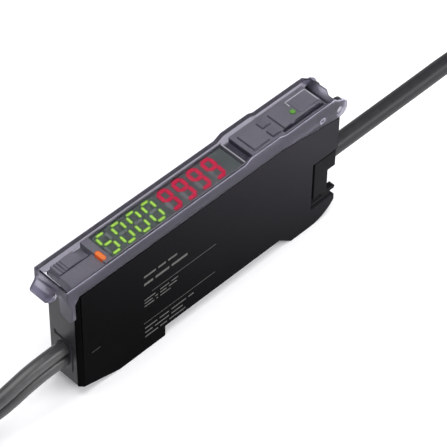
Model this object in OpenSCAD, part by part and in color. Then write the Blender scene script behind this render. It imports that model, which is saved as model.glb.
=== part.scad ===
// Fibre optic sensor amplifier: a slim rail-mounted case with a hinged smoke-clear cover.
// Millimetres. +Z is up, +X runs to the cable end, the label side faces -Y, the feet stand on z = 0.
// Parts are drawn with x = 0 on the fibre face and moved by front_x, so the origin is under the middle.

/* [Case] */
// Length from the fibre face to the rear face
case_length = 78; // [76:1:84]
// Width across the case
case_width = 10; // [9.6:0.2:12]
// Height of the side walls over the feet
wall_top = 32.2; // [31.6:0.2:36]
// Thickness of the side walls
wall = 1; // [0.8:0.05:1.2]
// Chamfer on the upright corners
corner = 0.9; // [0.5:0.1:1]

/* [Rail recess] */
// Clear width of the recess for the mounting rail
rail_gap = 35.3; // [35.1:0.1:36]
// Depth of the recess over the feet
rail_depth = 3.1; // [2.5:0.1:3.4]
// Distance from the fibre face to the recess
rail_from_front = 24.7; // [23:0.1:26]

/* [Cover] */
// Height of the low part of the cover over the side walls
cover_rise = 3.8; // [3.6:0.1:4.6]
// Extra height of the cover over the front of the key deck
cover_step = 1; // [0.8:0.1:1.5]
// Thickness of the cover's top and front
cover_skin = 0.8; // [0.6:0.05:0.9]
// Air between the cover's skirts and the panel
cover_gap = 0.3; // [0.2:0.05:0.4]
// Reach of the lifting tab in front of the fibre face
tab_reach = 4.1; // [3.6:0.1:5]

/* [Hinge] */
// Radius of the fixed hinge barrel
barrel_r = 2.2; // [1.8:0.1:2.3]
// Radius of the cover's hinge ears
ear_r = 2.5; // [2.3:0.1:2.6]
// Radius of the hinge pin
pin_r = 0.75; // [0.6:0.05:1]

/* [Display and keys] */
// Height of a digit across the case
digit_h = 6.5; // [5.4:0.1:6.6]
// Width of a digit along the case
digit_w = 3.3; // [2.6:0.1:3.5]
// Distance from digit to digit
digit_pitch = 4.25; // [4:0.05:4.4]
// Width of one lit segment
segment = 0.65; // [0.4:0.05:0.8]
// Height of a key cap over the key deck
key_rise = 0.3; // [0.2:0.05:0.4]
// Air round a key cap
key_gap = 0.15; // [0.1:0.05:0.25]

/* [Fibres] */
// Diameter of one fibre
fibre_d = 3.4; // [3:0.1:3.4]
// Height of the lower fibre port
lower_port = 9.35; // [9.1:0.05:9.6]
// Length of a straight run of the fibre hank
fibre_run = 42; // [39:1:52]

/* [Cable] */
// Diameter of the power cable
cable_d = 4.4; // [4:0.1:4.6]
// Height of the cable over the feet
cable_z = 14; // [13:0.1:15]
// Length of a straight run of the cable hank
cable_run = 88; // [66:1:90]

/* [Hidden] */
$fn = 48;
eps = 0.01;
touch = 0.02;

half_w = case_width / 2;
inner_w = half_w - wall;
rear_corner = 0.2;
front_wall = 1.2;
skirt = wall - cover_gap;

// Hinge axis and the middle of the object's box
hinge_x = case_length - 0.4;
hinge_z = wall_top + 0.2;
knuckle_w = 1;
front_x = -(hinge_x + ear_r - tab_reach) / 2;

// Stations along the case: the display and the legend share the length that the rest leaves over
slope_x = case_length - 18;
notch_x = case_length - 8;
hook_x = case_length - 0.4;
recess_end = rail_from_front + rail_gap;
rear_foot = recess_end + 3.9;
front_foot = 11.1;
lock_end = 9.2;
window_start = 11.2;
first_digit = 13.4;
second_group = 17.5;
digits_end = first_digit + second_group + 3 * digit_pitch + digit_w / 2;
deck_end = case_length - 3.3;
groove_w = 2.8;
legend_from_deck = 16.4;
legend_margin = 0.4;
spare = deck_end - legend_margin - legend_from_deck - groove_w - digits_end;
window_end = digits_end + spare * 41 / 98;
deck_start = window_end + groove_w;
legend_start = deck_start + legend_from_deck;

// Heights
rear_drop = 2.6;
nose_z = 3.2;
hook_top = 5.6;
notch_top = 20.2;
floor_z = 4.3;
panel_base = wall_top - 1.2;
lock_bed = wall_top + 0.8;
lock_rest = wall_top + 2;
groove_z = wall_top + 1.4;
hinge_base = wall_top - 3.8;
cover_low = wall_top + cover_rise;
cover_high = cover_low + cover_step;
cover_rear = cover_low + 0.4;
skirt_low = wall_top + 0.2;
window_air = 0.2;
window_top = cover_low - cover_skin - window_air;
window_t = 0.4;
deck_air = 0.3;
deck_top = cover_rear - cover_skin - deck_air - key_rise;

// Cover: stations of its raised middle, where it drops to the rear and ends over the barrel
rise_start = deck_start - 3.6;
rise_end = deck_start - 1.7;
drop_start = slope_x - 1.1;
drop_end = slope_x + 0.4;
plate_end = case_length - 2.1;
tongue_end = case_length - 0.9;
slant = 0.3;

// Cover front
cover_front = 2.5;
front_low = wall_top + 1;
leg_end = wall_top - 7.4;
leg_edge = -0.95;
leg_back = -0.4;
leg_front = -1.3;
web_end = 0.8;
web_drop = 1.5;
tab_near = 0.6;
nose_cut = web_end + 0.2;

// Keys: middle along the case, middle across it, length and width of the cap
tune_cap = [deck_start + 3.5, 0, 4.4, 5.2];
up_cap = [deck_start + 8.1, 1.6, 2.2, 2];
down_cap = [deck_start + 8.1, -1.6, 2.2, 2];
mode_cap = [deck_start + 11.5, 0, 2, 5.2];
key_pocket = [0.6, 13.3, 3.3];
key_flange = 0.5;
flange_t = 0.6;
pocket_top = deck_top - 1.6;
flange_z = pocket_top - flange_t;
board_t = 0.8;
switch_h = 0.8;
key_travel = 0.35;
plunger_air = 0.05;
plunger_h = flange_z - key_travel - plunger_air - panel_base - switch_h;
plunger_r = 0.7;
legend_t = 0.15;

// Display: the lists name the lit segments of a digit
digit_t = 0.2;
lean = 0.08;
module_top = window_top - window_t - digit_t;
module_inset = 0.5;
module_start = window_start + module_inset;
module_end = window_end - module_inset;
window_half = inner_w - 0.35;
five = [0, 1, 2, 3, 6];
zero = [0, 2, 3, 4, 5, 6];
nine = [0, 1, 2, 3, 5, 6];
lamp_x = 9.8;
lamp_y = -1.65;
lamp_reach = 0.85;
lamp_r = 0.65;
lens_r = 0.7;
lens_x = deck_start + 15.3;
lens_y = -0.3;

// Boards
main_board_y = inner_w - 1.4;
main_board_t = 1;
board_start = 14;
board_end = notch_x - 4;
board_low = 5.5;
display_board_start = 9;
display_board_half = 3.2;
module_half = digit_h / 2 + 0.1;
module_gap = 0.1;

// Fibre lock: length, thickness and travel of the slider, and its stem through the panel
lock_start = 0.7;
lock_length = 6.2;
lock_t = 1.3;
lock_travel = 1.8;
stem_low = [3, 1.5, 19.3];
stem_size = [2, 1.4];
stem_gap = 0.2;

// Optical block: bare end of a fibre, seat of the emitter and photodiode, and of the clamp on top
stub_r = 1.1;
eye_x = 9;
eye_length = 4;
eye_r = stub_r + 0.2;
clamp_base = 17;

// Cable bush
bush_front = notch_x + 1;
bush_back = notch_x + 5.5;
bush_half = half_w - 0.4;
bush_low = 8;
bush_high = 19.4;
bush_lip = 14.4;
finger_w = 1.4;
bush_neck = 3;
bush_collar = 3.8;

// Ties and hanks
tie_t = 0.8;
tie_w = 4;
cable_r = cable_d / 2;
cable_fold = 3 * cable_d;
cable_turns = 7.5;
cable_hank_h = tie_t + (cable_turns + 1) * cable_d;
cable_hank_x = 161;
fibre_r = fibre_d / 2;
upper_port = lower_port + fibre_d + 0.05;
inner_fold = 3 * fibre_d;
outer_fold = inner_fold + fibre_d + 0.1;
fibre_turns = 6.2;
fibre_hank_h = tie_t + (fibre_turns + 1) * fibre_d;
fibre_hank_x = -42;
core_r = 0.65;
core_length = 32;
head_r = 2.2;
head_length = 17;

// Routes: chosen points from the object to the start of the hank's first run
cable_route = [
    [bush_back, 0, cable_z], [84, 0, cable_z], [93, 0, cable_z], [102, 0, cable_z], [111, 0, cable_z],
    [121, 0, cable_z], [125, -0.22, cable_z - 0.19], [129, -0.91, cable_z - 0.76],
    [133, -2.11, cable_z - 1.76], [137, -3.93, cable_z - 3.28], [141, -6.6, 8.5], [145, -9.27, 6.28],
    [149, -11.09, 4.76], [153, -12.29, 3.76], [157, -12.98, 3.19],
    [161, -cable_fold, tie_t + cable_r], [169, -cable_fold, tie_t + cable_r]
];
lower_route = [
    [front_wall, 0, lower_port], [-3, 0, lower_port], [-6.9, 0, lower_port - 0.1],
    [-10.7, 0, lower_port - 0.54], [-14.6, 0, lower_port - 1.34], [-18.4, 0.49, 6.83],
    [-21.7, 1.84, 5.49], [-25.1, 4.23, 4.12], [-28.4, 7.85, 3.27], [-32.1, 10.95, 2.83],
    [-35.4, 12.56, 2.65], [-38.7, 13.43, 2.56],
    [-42, outer_fold, tie_t + fibre_r], [-47, outer_fold, tie_t + fibre_r]
];
upper_route = [
    [front_wall, 0, upper_port], [-3, 0, upper_port], [-7.1, 0, upper_port - 0.1],
    [-11.3, 0, upper_port - 0.57], [-15.4, 0, upper_port - 1.44], [-19.6, 0.4, 10.09],
    [-23.3, 1.38, 8.55], [-26.9, 3.15, 6.87], [-30.6, 6.13, 5.34], [-33.9, 8.2, 4.02],
    [-36.6, 9.31, 3.17], [-39.3, 9.98, 2.65],
    [-42, inner_fold, tie_t + fibre_r], [-47, inner_fold, tie_t + fibre_r]
];

function unit(v) = v / norm(v);
function heading(path, i) = unit(path[min(i + 1, len(path) - 1)] - path[max(i - 1, 0)]);
function side_of(t) = unit(cross(t, [0, 0, 1]));
function ring(p, t, r, n) =
    [for (k = [0 : n - 1])
        p + r * (cos(360 * k / n) * side_of(t) + sin(360 * k / n) * cross(side_of(t), t))];
function end_heading(path, i) = i == 0 || i == len(path) - 1 ? [sign(path[1][0] - path[0][0]), 0, 0]
    : heading(path, i);

// Round tube swept along a route
module tube(path, r, n) {
    rings = [for (i = [0 : len(path) - 1]) ring(path[i], end_heading(path, i), r, n)];
    points = [for (one = rings, p = one) p];
    last = (len(path) - 1) * n;
    sides = [for (i = [0 : len(path) - 2], k = [0 : n - 1])
        [i * n + k, i * n + (k + 1) % n, (i + 1) * n + (k + 1) % n, (i + 1) * n + k]];
    ends = [[for (k = [n - 1 : -1 : 0]) k], [for (k = [0 : n - 1]) last + k]];
    polyhedron(points, concat(sides, ends));
}

// Moves a part from the fibre face's frame to the object's frame
module placed() {
    translate([front_x, 0, 0]) children();
}

// Side profile in x and z, extruded from y0 to y1
module across(y0, y1) {
    translate([0, y1, 0]) rotate([90, 0, 0]) linear_extrude(y1 - y0) children();
}

// Box from one corner to the other
module block(low, high) {
    translate(low) cube(high - low);
}

// Cylinder along the case
module bar(x0, x1, y, z, r) {
    translate([x0, y, z]) rotate([0, 90, 0]) cylinder(h = x1 - x0, r = r);
}

// Cylinder across the case
module cross_bar(x, z, y0, y1, r) {
    translate([x, y1, z]) rotate([90, 0, 0]) cylinder(h = y1 - y0, r = r);
}

// Stadium outline round two points on the x axis
module stadium(x0, x1, r) {
    translate([x0, 0]) circle(r);
    translate([x1, 0]) circle(r);
    translate([x0, -r]) square([x1 - x0, 2 * r]);
}

// Side profile of the case: feet, rail recess, rear hook and rear notch
module case_profile() {
    hook_r = 9.6;
    hook_run = min(7.6, hook_x - rear_foot - 1);
    hook_start = hook_x - hook_run;
    hook_sweep = asin(hook_run / hook_r);
    hook = [for (k = [0 : 8])
        [hook_start + hook_r * sin(hook_sweep * k / 8), hook_r - hook_r * cos(hook_sweep * k / 8)]];
    polygon(concat(
        [[0, nose_z], [0, wall_top - web_drop], [nose_cut, wall_top], [slope_x, wall_top],
            [case_length, wall_top - rear_drop],
            [case_length, notch_top], [notch_x, notch_top], [notch_x, hook_top], [hook_x, hook_top]],
        [for (k = [8 : -1 : 0]) hook[k]],
        [[rear_foot, 0], [recess_end, rail_depth], [rail_from_front, rail_depth],
            [rail_from_front, 0], [front_foot, 0], [1, nose_z - 0.3]]
    ));
}

// Outline of the case from above, with its upright corners chamfered, the rear ones only a little
module case_plan() {
    polygon([
        [corner, -half_w], [case_length - rear_corner, -half_w], [case_length, rear_corner - half_w],
        [case_length, half_w - rear_corner], [case_length - rear_corner, half_w], [corner, half_w],
        [0, half_w - corner], [0, corner - half_w]
    ]);
}

// Slice of the solid case between two planes
module case_slice(y0, y1) {
    intersection() {
        across(y0, y1) case_profile();
        linear_extrude(wall_top + 1) case_plan();
    }
}

// Main half of the case, open towards the label side, with bosses that carry the main board
module main_case() {
    boss_y = main_board_y + main_board_t;
    color("#3a393d") placed() {
        difference() {
            case_slice(-inner_w, half_w);
            block([front_wall, -half_w, floor_z], [notch_x - 1.2, inner_w, wall_top + 1]);
            block([front_wall, -half_w, notch_top + 1.2], [case_length - 1.2, inner_w, wall_top + 1]);
            block([-1, -half_w, panel_base], [front_wall + eps, inner_w, wall_top + 1]);
            block([deck_end, -half_w, hinge_base], [case_length + 1, inner_w, wall_top + 1]);
            bar(-1, front_wall + eps, 0, lower_port, fibre_r + 0.2);
            bar(-1, front_wall + eps, 0, upper_port, fibre_r + 0.2);
            bar(notch_x - 2, notch_x + 1, 0, cable_z, bush_neck + touch);
        }
        for (x = [board_start + 4, (board_start + board_end) / 2, board_end - 4])
            cross_bar(x, panel_base - 7, boss_y, inner_w + eps, 1.2);
    }
}

// Side of the case that carries the label
module side_cover() {
    color("#151517") placed() case_slice(-half_w, -inner_w);
}

// Pocket or hole of a key through the deck
module key_hole(cap) {
    translate([cap[0] - cap[2] / 2 - key_gap, cap[1] - cap[3] / 2 - key_gap, pocket_top - 1])
        cube([cap[2] + 2 * key_gap, cap[3] + 2 * key_gap, 4]);
}

module top_panel() {
    color("#3a3a3e") placed() difference() {
        across(-inner_w, inner_w) polygon([
            [0.3, panel_base], [deck_end, panel_base], [deck_end, deck_top], [deck_start, deck_top],
            [deck_start, groove_z], [window_end + 0.4, groove_z], [window_end + 0.4, window_top],
            [lock_end, window_top], [lock_end, lock_rest], [0.3, lock_rest]
        ]);
        block([-1, tab_near, lock_bed], [lock_end, half_w, wall_top + 4]);
        translate([stem_low[0] - stem_gap, stem_low[1] - stem_gap, panel_base - 1])
            cube([stem_size[0] + lock_travel + 2 * stem_gap, stem_size[1] + 2 * stem_gap, 6]);
        block([window_start, -window_half, window_top - window_t],
            [window_end, window_half, window_top + 1]);
        block([module_start - 2 * module_gap, -module_half - module_gap, panel_base - 1],
            [module_end + 2 * module_gap, module_half + module_gap, window_top + 1]);
        block([deck_start + key_pocket[0], -key_pocket[2], panel_base - 1],
            [deck_start + key_pocket[1], key_pocket[2], pocket_top]);
        for (cap = [tune_cap, up_cap, down_cap, mode_cap]) key_hole(cap);
        translate([lamp_x, lamp_y, panel_base - 1]) rotate(90) linear_extrude(6)
            stadium(-lamp_reach, lamp_reach, lamp_r);
        translate([lens_x, lens_y, panel_base - 1]) cylinder(h = 6, r = lens_r);
        block([deck_start + 13.8, -key_pocket[2], deck_top - 0.6],
            [deck_end - 1, 1 - key_pocket[2], deck_top + 1]);
    }
}

module hinge_block() {
    color("#1b1b1e") placed() difference() {
        union() {
            block([deck_end, -inner_w, hinge_base], [case_length, inner_w, hinge_z]);
            for (y = [-inner_w, inner_w - knuckle_w])
                cross_bar(hinge_x, hinge_z, y, y + knuckle_w, barrel_r);
        }
        cross_bar(hinge_x, hinge_z, -half_w, half_w, pin_r + touch);
    }
}

module hinge_pin() {
    color("#b9bcc0") placed() cross_bar(hinge_x, hinge_z, 0.15 - half_w, half_w - 0.15, pin_r);
}

// Outline of a skirt from the front corner to the hinge ear
module skirt_profile() {
    polygon([
        [web_end, skirt_low], [slope_x, skirt_low], [hinge_x, skirt_low - 2.5], [hinge_x, hinge_z + ear_r],
        [plate_end - 0.2, cover_rear], [drop_end, cover_rear], [drop_start, cover_high],
        [rise_end, cover_high], [rise_start, cover_low], [-cover_front, cover_low],
        [-cover_front, front_low], [cover_skin - cover_front, front_low]
    ]);
    translate([hinge_x, hinge_z]) circle(ear_r);
}

module skirts() {
    for (y = [-half_w, half_w - skirt]) across(y, y + skirt) skirt_profile();
}

module cover_top_plate() {
    across(-half_w + skirt - eps, half_w - skirt + eps) polygon([
        [-cover_front, cover_low], [rise_start, cover_low], [rise_end, cover_high], [drop_start, cover_high],
        [drop_end, cover_rear], [plate_end, cover_rear], [plate_end, cover_rear - cover_skin],
        [drop_end - slant, cover_rear - cover_skin], [drop_start - slant, cover_high - cover_skin],
        [rise_end + slant, cover_high - cover_skin], [rise_start + slant, cover_low - cover_skin],
        [cover_skin - cover_front, cover_low - cover_skin],
        [cover_skin - cover_front, front_low], [-cover_front, front_low]
    ]);
}

// Tongue of the top plate over the hinge barrel, with slanted corners
module cover_tongue() {
    translate([0, 0, cover_rear - cover_skin]) linear_extrude(cover_skin) polygon([
        [plate_end - 1, skirt - half_w], [plate_end, skirt - half_w], [plate_end + 0.2, -2.8],
        [tongue_end, -1.4], [tongue_end, 3.4], [plate_end, half_w - skirt], [plate_end - 1, half_w - skirt]
    ]);
}

// Lifting tab that flares out of the front wall, wider at its root than at its lip
module cover_tab() {
    root_near = tab_near - 2.1;
    intersection() {
        across(root_near, half_w - 0.2) polygon([
            [-cover_front, front_low + 0.6], [-cover_front - 0.15, front_low - 0.3],
            [-tab_reach, front_low - 2.1], [-tab_reach, front_low - 3.1], [0.8 - tab_reach, front_low - 3.1],
            [cover_skin - cover_front, front_low - 0.9], [cover_skin - cover_front, front_low + 0.4]
        ]);
        translate([0, 0, front_low - 5]) linear_extrude(8) polygon([
            [-tab_reach - 1, tab_near - 0.4], [-tab_reach, tab_near - 0.4], [-cover_front, root_near],
            [0, root_near], [0, half_w], [-tab_reach - 1, half_w]
        ]);
    }
}

// Leg that hangs in front of the fibre face, round at its lower end
module cover_leg() {
    leg_r = (half_w + leg_edge) / 2;
    leg_mid = (leg_edge - half_w) / 2;
    intersection() {
        across(-half_w, leg_edge) polygon([
            [-cover_front, front_low + 0.6], [-cover_front, front_low], [leg_front, wall_top - 2],
            [leg_front, leg_end], [leg_back, leg_end], [leg_back, wall_top - 1.7],
            [cover_skin - cover_front, front_low + 0.2], [cover_skin - cover_front, front_low + 0.6]
        ]);
        translate([1, leg_mid, leg_end + leg_r]) rotate([90, 0, -90]) linear_extrude(5) union() {
            circle(leg_r);
            translate([-leg_r, 0]) square([2 * leg_r, 12]);
        }
    }
    across(-half_w, skirt - half_w) polygon([
        [-cover_front, front_low + eps], [web_end + eps, front_low + eps], [web_end + eps, skirt_low],
        [leg_back, wall_top - web_drop], [leg_back, leg_end + 2.6], [leg_front, leg_end + 2.2],
        [leg_front, wall_top - 2],
        [-cover_front, front_low - 0.1]
    ]);
}

module protective_cover() {
    color([0.42, 0.4, 0.47, 0.55]) placed() difference() {
        union() {
            skirts();
            cover_top_plate();
            cover_tongue();
            cover_tab();
            cover_leg();
        }
        cross_bar(hinge_x, hinge_z, -half_w - 1, half_w + 1, pin_r + 0.07);
    }
}

module display_window() {
    color([0.2, 0.22, 0.22, 0.6]) placed()
        block([window_start, -window_half, window_top - window_t], [window_end, window_half, window_top]);
}

module display_module() {
    color("#2a2d2c") placed()
        block([module_start, -module_half, panel_base], [module_end, module_half, module_top]);
}

// One lit segment lying along x, with pointed ends
module lit_bar(length) {
    half = length / 2;
    polygon([
        [-half, 0], [segment / 2 - half, -segment / 2], [half - segment / 2, -segment / 2],
        [half, 0], [half - segment / 2, segment / 2], [segment / 2 - half, segment / 2]
    ]);
}

// Digit with the listed segments lit: 0 top, 1 middle, 2 bottom, 3 and 4 left, 5 and 6 right
module digit(lit) {
    side = digit_w / 2 - segment / 2;
    rise = digit_h / 2 - segment / 2;
    for (s = lit) {
        if (s < 3) translate([lean * rise * (1 - s), rise * (1 - s)]) lit_bar(digit_w - segment - 0.15);
        if (s == 3 || s == 4) translate([lean * rise * (3.5 - s) - side, rise * (3.5 - s)])
            rotate(90) lit_bar(rise - 0.15);
        if (s > 4) translate([lean * rise * (5.5 - s) + side, rise * (5.5 - s)])
            rotate(90) lit_bar(rise - 0.15);
    }
}

// Row of digits on top of the display module
module digit_row(start, shown) {
    translate([0, 0, module_top]) linear_extrude(digit_t)
        for (k = [0 : len(shown) - 1]) translate([start + k * digit_pitch, 0]) digit(shown[k]);
}

module green_digits() {
    color("#a6e04a") placed() digit_row(first_digit, [five, zero, zero, zero]);
}

module red_digits() {
    color("#d2173f") placed() digit_row(first_digit + second_group, [nine, nine, nine, nine]);
}

module output_indicator() {
    color("#f07a2a") placed() translate([lamp_x, lamp_y, panel_base]) rotate(90)
        linear_extrude(window_top - panel_base) stadium(-lamp_reach, lamp_reach, lamp_r - touch);
}

module status_lens() {
    color("#6fae3c") placed() translate([lens_x, lens_y, panel_base])
        cylinder(h = deck_top - panel_base + legend_t, r = lens_r - touch);
}

module legend_plate() {
    color("#55555a") placed()
        block([legend_start, -1.6, deck_top], [deck_end - legend_margin, 2.9, deck_top + legend_t]);
}

module fibre_lock() {
    color("#46464a") placed() {
        difference() {
            block([lock_start, tab_near + 0.15, lock_bed],
                [lock_start + lock_length, inner_w - 0.2, lock_bed + lock_t]);
            for (k = [0 : 2]) translate([lock_start + 0.5 + 0.8 * k, 0, lock_bed + lock_t - 0.3])
                cube([0.4, half_w, 1]);
        }
        translate(stem_low) cube([stem_size[0], stem_size[1], lock_bed + eps - stem_low[2]]);
    }
}

module fibre_clamp() {
    color("#2b2b2d") placed() block([2.4, -2, clamp_base], [7.6, 3.2, stem_low[2] - 0.1]);
}

// Key: a cap through the deck on a flange under it
module key(cap, tint) {
    color(tint) placed() translate([cap[0], cap[1], 0]) {
        translate([-cap[2] / 2, -cap[3] / 2, flange_z])
            cube([cap[2], cap[3], deck_top + key_rise - flange_z]);
        translate([-cap[2] / 2 - key_flange, -cap[3] / 2 - key_flange, flange_z])
            cube([cap[2] + 2 * key_flange, cap[3] + 2 * key_flange, flange_t]);
    }
}

module tune_button() {
    key(tune_cap, "#6a6a6f");
}

module up_key() {
    key(up_cap, "#5c5c61");
}

module down_key() {
    key(down_cap, "#5c5c61");
}

module mode_key() {
    key(mode_cap, "#5c5c61");
}

// Tact switch on the display board under a key
module tact_switch(cap) {
    size = min(cap[2], cap[3], 3);
    color("#8d8f92") placed() translate([cap[0], cap[1], panel_base]) {
        translate([-size / 2, -size / 2, 0]) cube([size, size, switch_h]);
        cylinder(h = switch_h + plunger_h, r = plunger_r);
    }
}

module tune_switch() {
    tact_switch(tune_cap);
}

module up_switch() {
    tact_switch(up_cap);
}

module down_switch() {
    tact_switch(down_cap);
}

module mode_switch() {
    tact_switch(mode_cap);
}

module optical_block() {
    color("#303033") placed() difference() {
        block([front_wall, 0.4 - inner_w, 5], [12, inner_w - 0.4, clamp_base]);
        for (z = [lower_port, upper_port]) {
            bar(0, eye_x + 1, 0, z, stub_r + touch);
            bar(eye_x, eye_x + eye_length, 0, z, eye_r);
        }
    }
}

module emitter() {
    color("#c9d6d2") placed() bar(eye_x, eye_x + eye_length, 0, lower_port, eye_r - touch);
}

module photodiode() {
    color("#3d3350") placed() bar(eye_x, eye_x + eye_length, 0, upper_port, eye_r - touch);
}

module fibre_stub_lower() {
    color("#3f4142") placed() bar(front_wall, eye_x, 0, lower_port, stub_r);
}

module fibre_stub_upper() {
    color("#3f4142") placed() bar(front_wall, eye_x, 0, upper_port, stub_r);
}

module main_board() {
    color("#1f5a3a") placed()
        block([board_start, main_board_y, board_low],
            [board_end, main_board_y + main_board_t, panel_base - 2]);
}

module display_board() {
    color("#1f5a3a") placed() block([display_board_start, -display_board_half, panel_base - board_t],
        [legend_start, display_board_half, panel_base]);
}

module board_link() {
    color("#d9d4c4") placed()
        block([board_start + 16, main_board_y - 1.4, panel_base - 5],
            [board_start + 24, main_board_y, panel_base - board_t]);
}

module processor_chip() {
    color("#222225") placed() block([board_start + 14, main_board_y - 1, board_low + 4.5],
        [board_start + 21, main_board_y, board_low + 11.5]);
}

module power_chip() {
    color("#222225") placed() block([board_start + 28, main_board_y - 1.2, board_low + 2.5],
        [board_start + 33, main_board_y, board_low + 6.5]);
}

module capacitor() {
    color("#3b4a66") placed() cross_bar(board_start + 36, board_low + 16.5, -1.5, main_board_y, 2.2);
}

module terminal_block() {
    color("#2c2c30") placed()
        block([notch_x - 12, -1, cable_z - 2.5], [notch_x - 5, main_board_y, cable_z + 2.5]);
}

module cable_bush() {
    color("#2e2e31") placed() difference() {
        union() {
            block([bush_front, -bush_half, bush_low], [bush_back, bush_half, bush_high]);
            block([bush_back - eps, -bush_half, bush_lip], [bush_back + 2.4, bush_half, bush_high]);
            for (y = [-bush_half, bush_half - finger_w]) {
                block([bush_back - 2, y, bush_low - 1], [bush_back + 1.9, y + finger_w, bush_low + 0.2]);
                cross_bar(bush_back + 1.9, bush_low - 0.4, y, y + finger_w, 0.6);
            }
            bar(notch_x - 2.4, bush_front + eps, 0, cable_z, bush_neck);
            bar(notch_x - 2.4, notch_x - 1.2, 0, cable_z, bush_collar);
        }
        bar(notch_x - 3, bush_back, 0, cable_z, cable_r);
        bar(bush_back - eps, bush_back + 3, 0, cable_z, cable_r + 0.1);
    }
}

module cable_stub() {
    color("#39393b") placed() bar(notch_x - 5, bush_back, 0, cable_z, cable_r - touch);
}

module power_cable() {
    color("#39393b") placed() tube(cable_route, cable_r, 10);
}

// Solid of a hank with a groove for its tie
module hank(x0, x1, r, h) {
    middle = (x0 + x1) / 2;
    difference() {
        linear_extrude(h) stadium(x0, x1, r);
        translate([middle - tie_w / 2, -r - 1, 0]) difference() {
            translate([0, 0, -1]) cube([tie_w, 2 * r + 2, h + 2]);
            translate([-1, 1 + tie_t, tie_t]) cube([tie_w + 2, 2 * r - 2 * tie_t, h - 2 * tie_t]);
        }
    }
}

// Tie round the middle of a hank, flush in its groove
module tie(x0, x1, r, h) {
    middle = (x0 + x1) / 2;
    translate([middle - tie_w / 2, -r, 0]) difference() {
        cube([tie_w, 2 * r, h]);
        translate([-1, tie_t, tie_t]) cube([tie_w + 2, 2 * r - 2 * tie_t, h - 2 * tie_t]);
    }
}

module cable_hank() {
    color("#39393b") placed()
        hank(cable_hank_x, cable_hank_x + cable_run, cable_fold + cable_r, cable_hank_h);
}

module cable_tie() {
    color("#e6e6e2") placed()
        tie(cable_hank_x, cable_hank_x + cable_run, cable_fold + cable_r, cable_hank_h);
}

// Stripped core of the cable, lying on the hank
module core(turn) {
    placed() translate([cable_hank_x + cable_run - core_length, cable_fold, cable_hank_h + core_r])
        translate([0, turn * 2.2 * core_r, 0]) rotate([0, 90, 0])
            cylinder(h = core_length, r = core_r, $fn = 16);
}

module core_brown() {
    color("#6b3f22") core(-1);
}

module core_black() {
    color("#1a1a1a") core(0);
}

module core_blue() {
    color("#2a5aa8") core(1);
}

module fibre_lower() {
    color("#4a4c4d") placed() tube(lower_route, fibre_r, 8);
}

module fibre_upper() {
    color("#4a4c4d") placed() tube(upper_route, fibre_r, 8);
}

module fibre_hank() {
    color("#4a4c4d") placed()
        hank(fibre_hank_x - fibre_run, fibre_hank_x, outer_fold + fibre_r, fibre_hank_h);
}

module fibre_tie() {
    color("#e6e6e2") placed()
        tie(fibre_hank_x - fibre_run, fibre_hank_x, outer_fold + fibre_r, fibre_hank_h);
}

// Sensing head of a fibre, lying on the hank
module head(y) {
    color("#b9bcc0") placed()
        bar(fibre_hank_x - 4 - head_length, fibre_hank_x - 4, y, fibre_hank_h + head_r, head_r);
}

module head_lower() {
    head(-outer_fold);
}

module head_upper() {
    head(inner_fold);
}

main_case();
side_cover();
top_panel();
hinge_block();
hinge_pin();
protective_cover();
display_window();
display_module();
green_digits();
red_digits();
output_indicator();
status_lens();
legend_plate();
fibre_lock();
fibre_clamp();
tune_button();
up_key();
down_key();
mode_key();
tune_switch();
up_switch();
down_switch();
mode_switch();
optical_block();
emitter();
photodiode();
fibre_stub_lower();
fibre_stub_upper();
main_board();
display_board();
board_link();
processor_chip();
power_chip();
capacitor();
terminal_block();
cable_bush();
cable_stub();
power_cable();
cable_hank();
cable_tie();
core_brown();
core_black();
core_blue();
fibre_lower();
fibre_upper();
fibre_hank();
fibre_tie();
head_lower();
head_upper();
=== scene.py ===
"""Looks of a slim fibre optic sensor amplifier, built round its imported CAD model.

Sizes are millimetres from the fibre face, as on the part's own drawing. spot() turns them into metres
in the row frame, which every piece is built in.
"""

import logging
import math
from collections.abc import Callable, Iterator, Sequence
from contextlib import contextmanager
from dataclasses import dataclass
from enum import Enum

import bmesh
import bpy
from mathutils import Matrix, Vector


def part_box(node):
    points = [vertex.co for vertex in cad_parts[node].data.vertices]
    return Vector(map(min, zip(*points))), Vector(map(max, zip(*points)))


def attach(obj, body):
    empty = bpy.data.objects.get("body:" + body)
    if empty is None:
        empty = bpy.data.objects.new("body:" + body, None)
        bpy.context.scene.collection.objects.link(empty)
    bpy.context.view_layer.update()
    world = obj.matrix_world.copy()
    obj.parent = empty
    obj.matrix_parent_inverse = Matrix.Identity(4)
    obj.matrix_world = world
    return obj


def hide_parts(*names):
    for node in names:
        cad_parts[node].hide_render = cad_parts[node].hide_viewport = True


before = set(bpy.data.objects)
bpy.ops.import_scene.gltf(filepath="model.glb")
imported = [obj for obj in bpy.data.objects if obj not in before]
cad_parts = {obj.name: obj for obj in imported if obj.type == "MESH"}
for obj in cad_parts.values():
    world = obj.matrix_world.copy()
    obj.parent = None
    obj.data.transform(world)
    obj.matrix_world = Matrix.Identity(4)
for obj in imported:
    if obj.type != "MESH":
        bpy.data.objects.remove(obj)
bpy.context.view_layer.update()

LOG = logging.getLogger("amplifier")
MM = 0.001
FIBRE_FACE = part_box("main_case")[0].x

# Cleaning of a copied solid: what is merged, what counts as flat, as an edge and as smooth, and the
# shortest edge that is rounded, as a multiple of the radius
MERGE = 1e-6
FLAT = math.radians(0.5)
SHARP = math.radians(30)
SMOOTH = math.radians(38)
SHORTEST = 2.2

# Points of a mesh that are closer than this, in metres, count as level
LEVEL = 1e-6
# Z of a normal from which a face counts as facing up
UPWARD = 0.99
# Label side of the case and its cover, and how far a print or a mark reaches into what it sits on
SIDE_Y = -5.0
SUNK = 0.01

Spot = tuple[float, float, float]
Box = tuple[Spot, Spot]
Bar = tuple[float, float, float, float]
Tone = tuple[float, float, float, float]
Piece = bpy.types.Object


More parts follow.
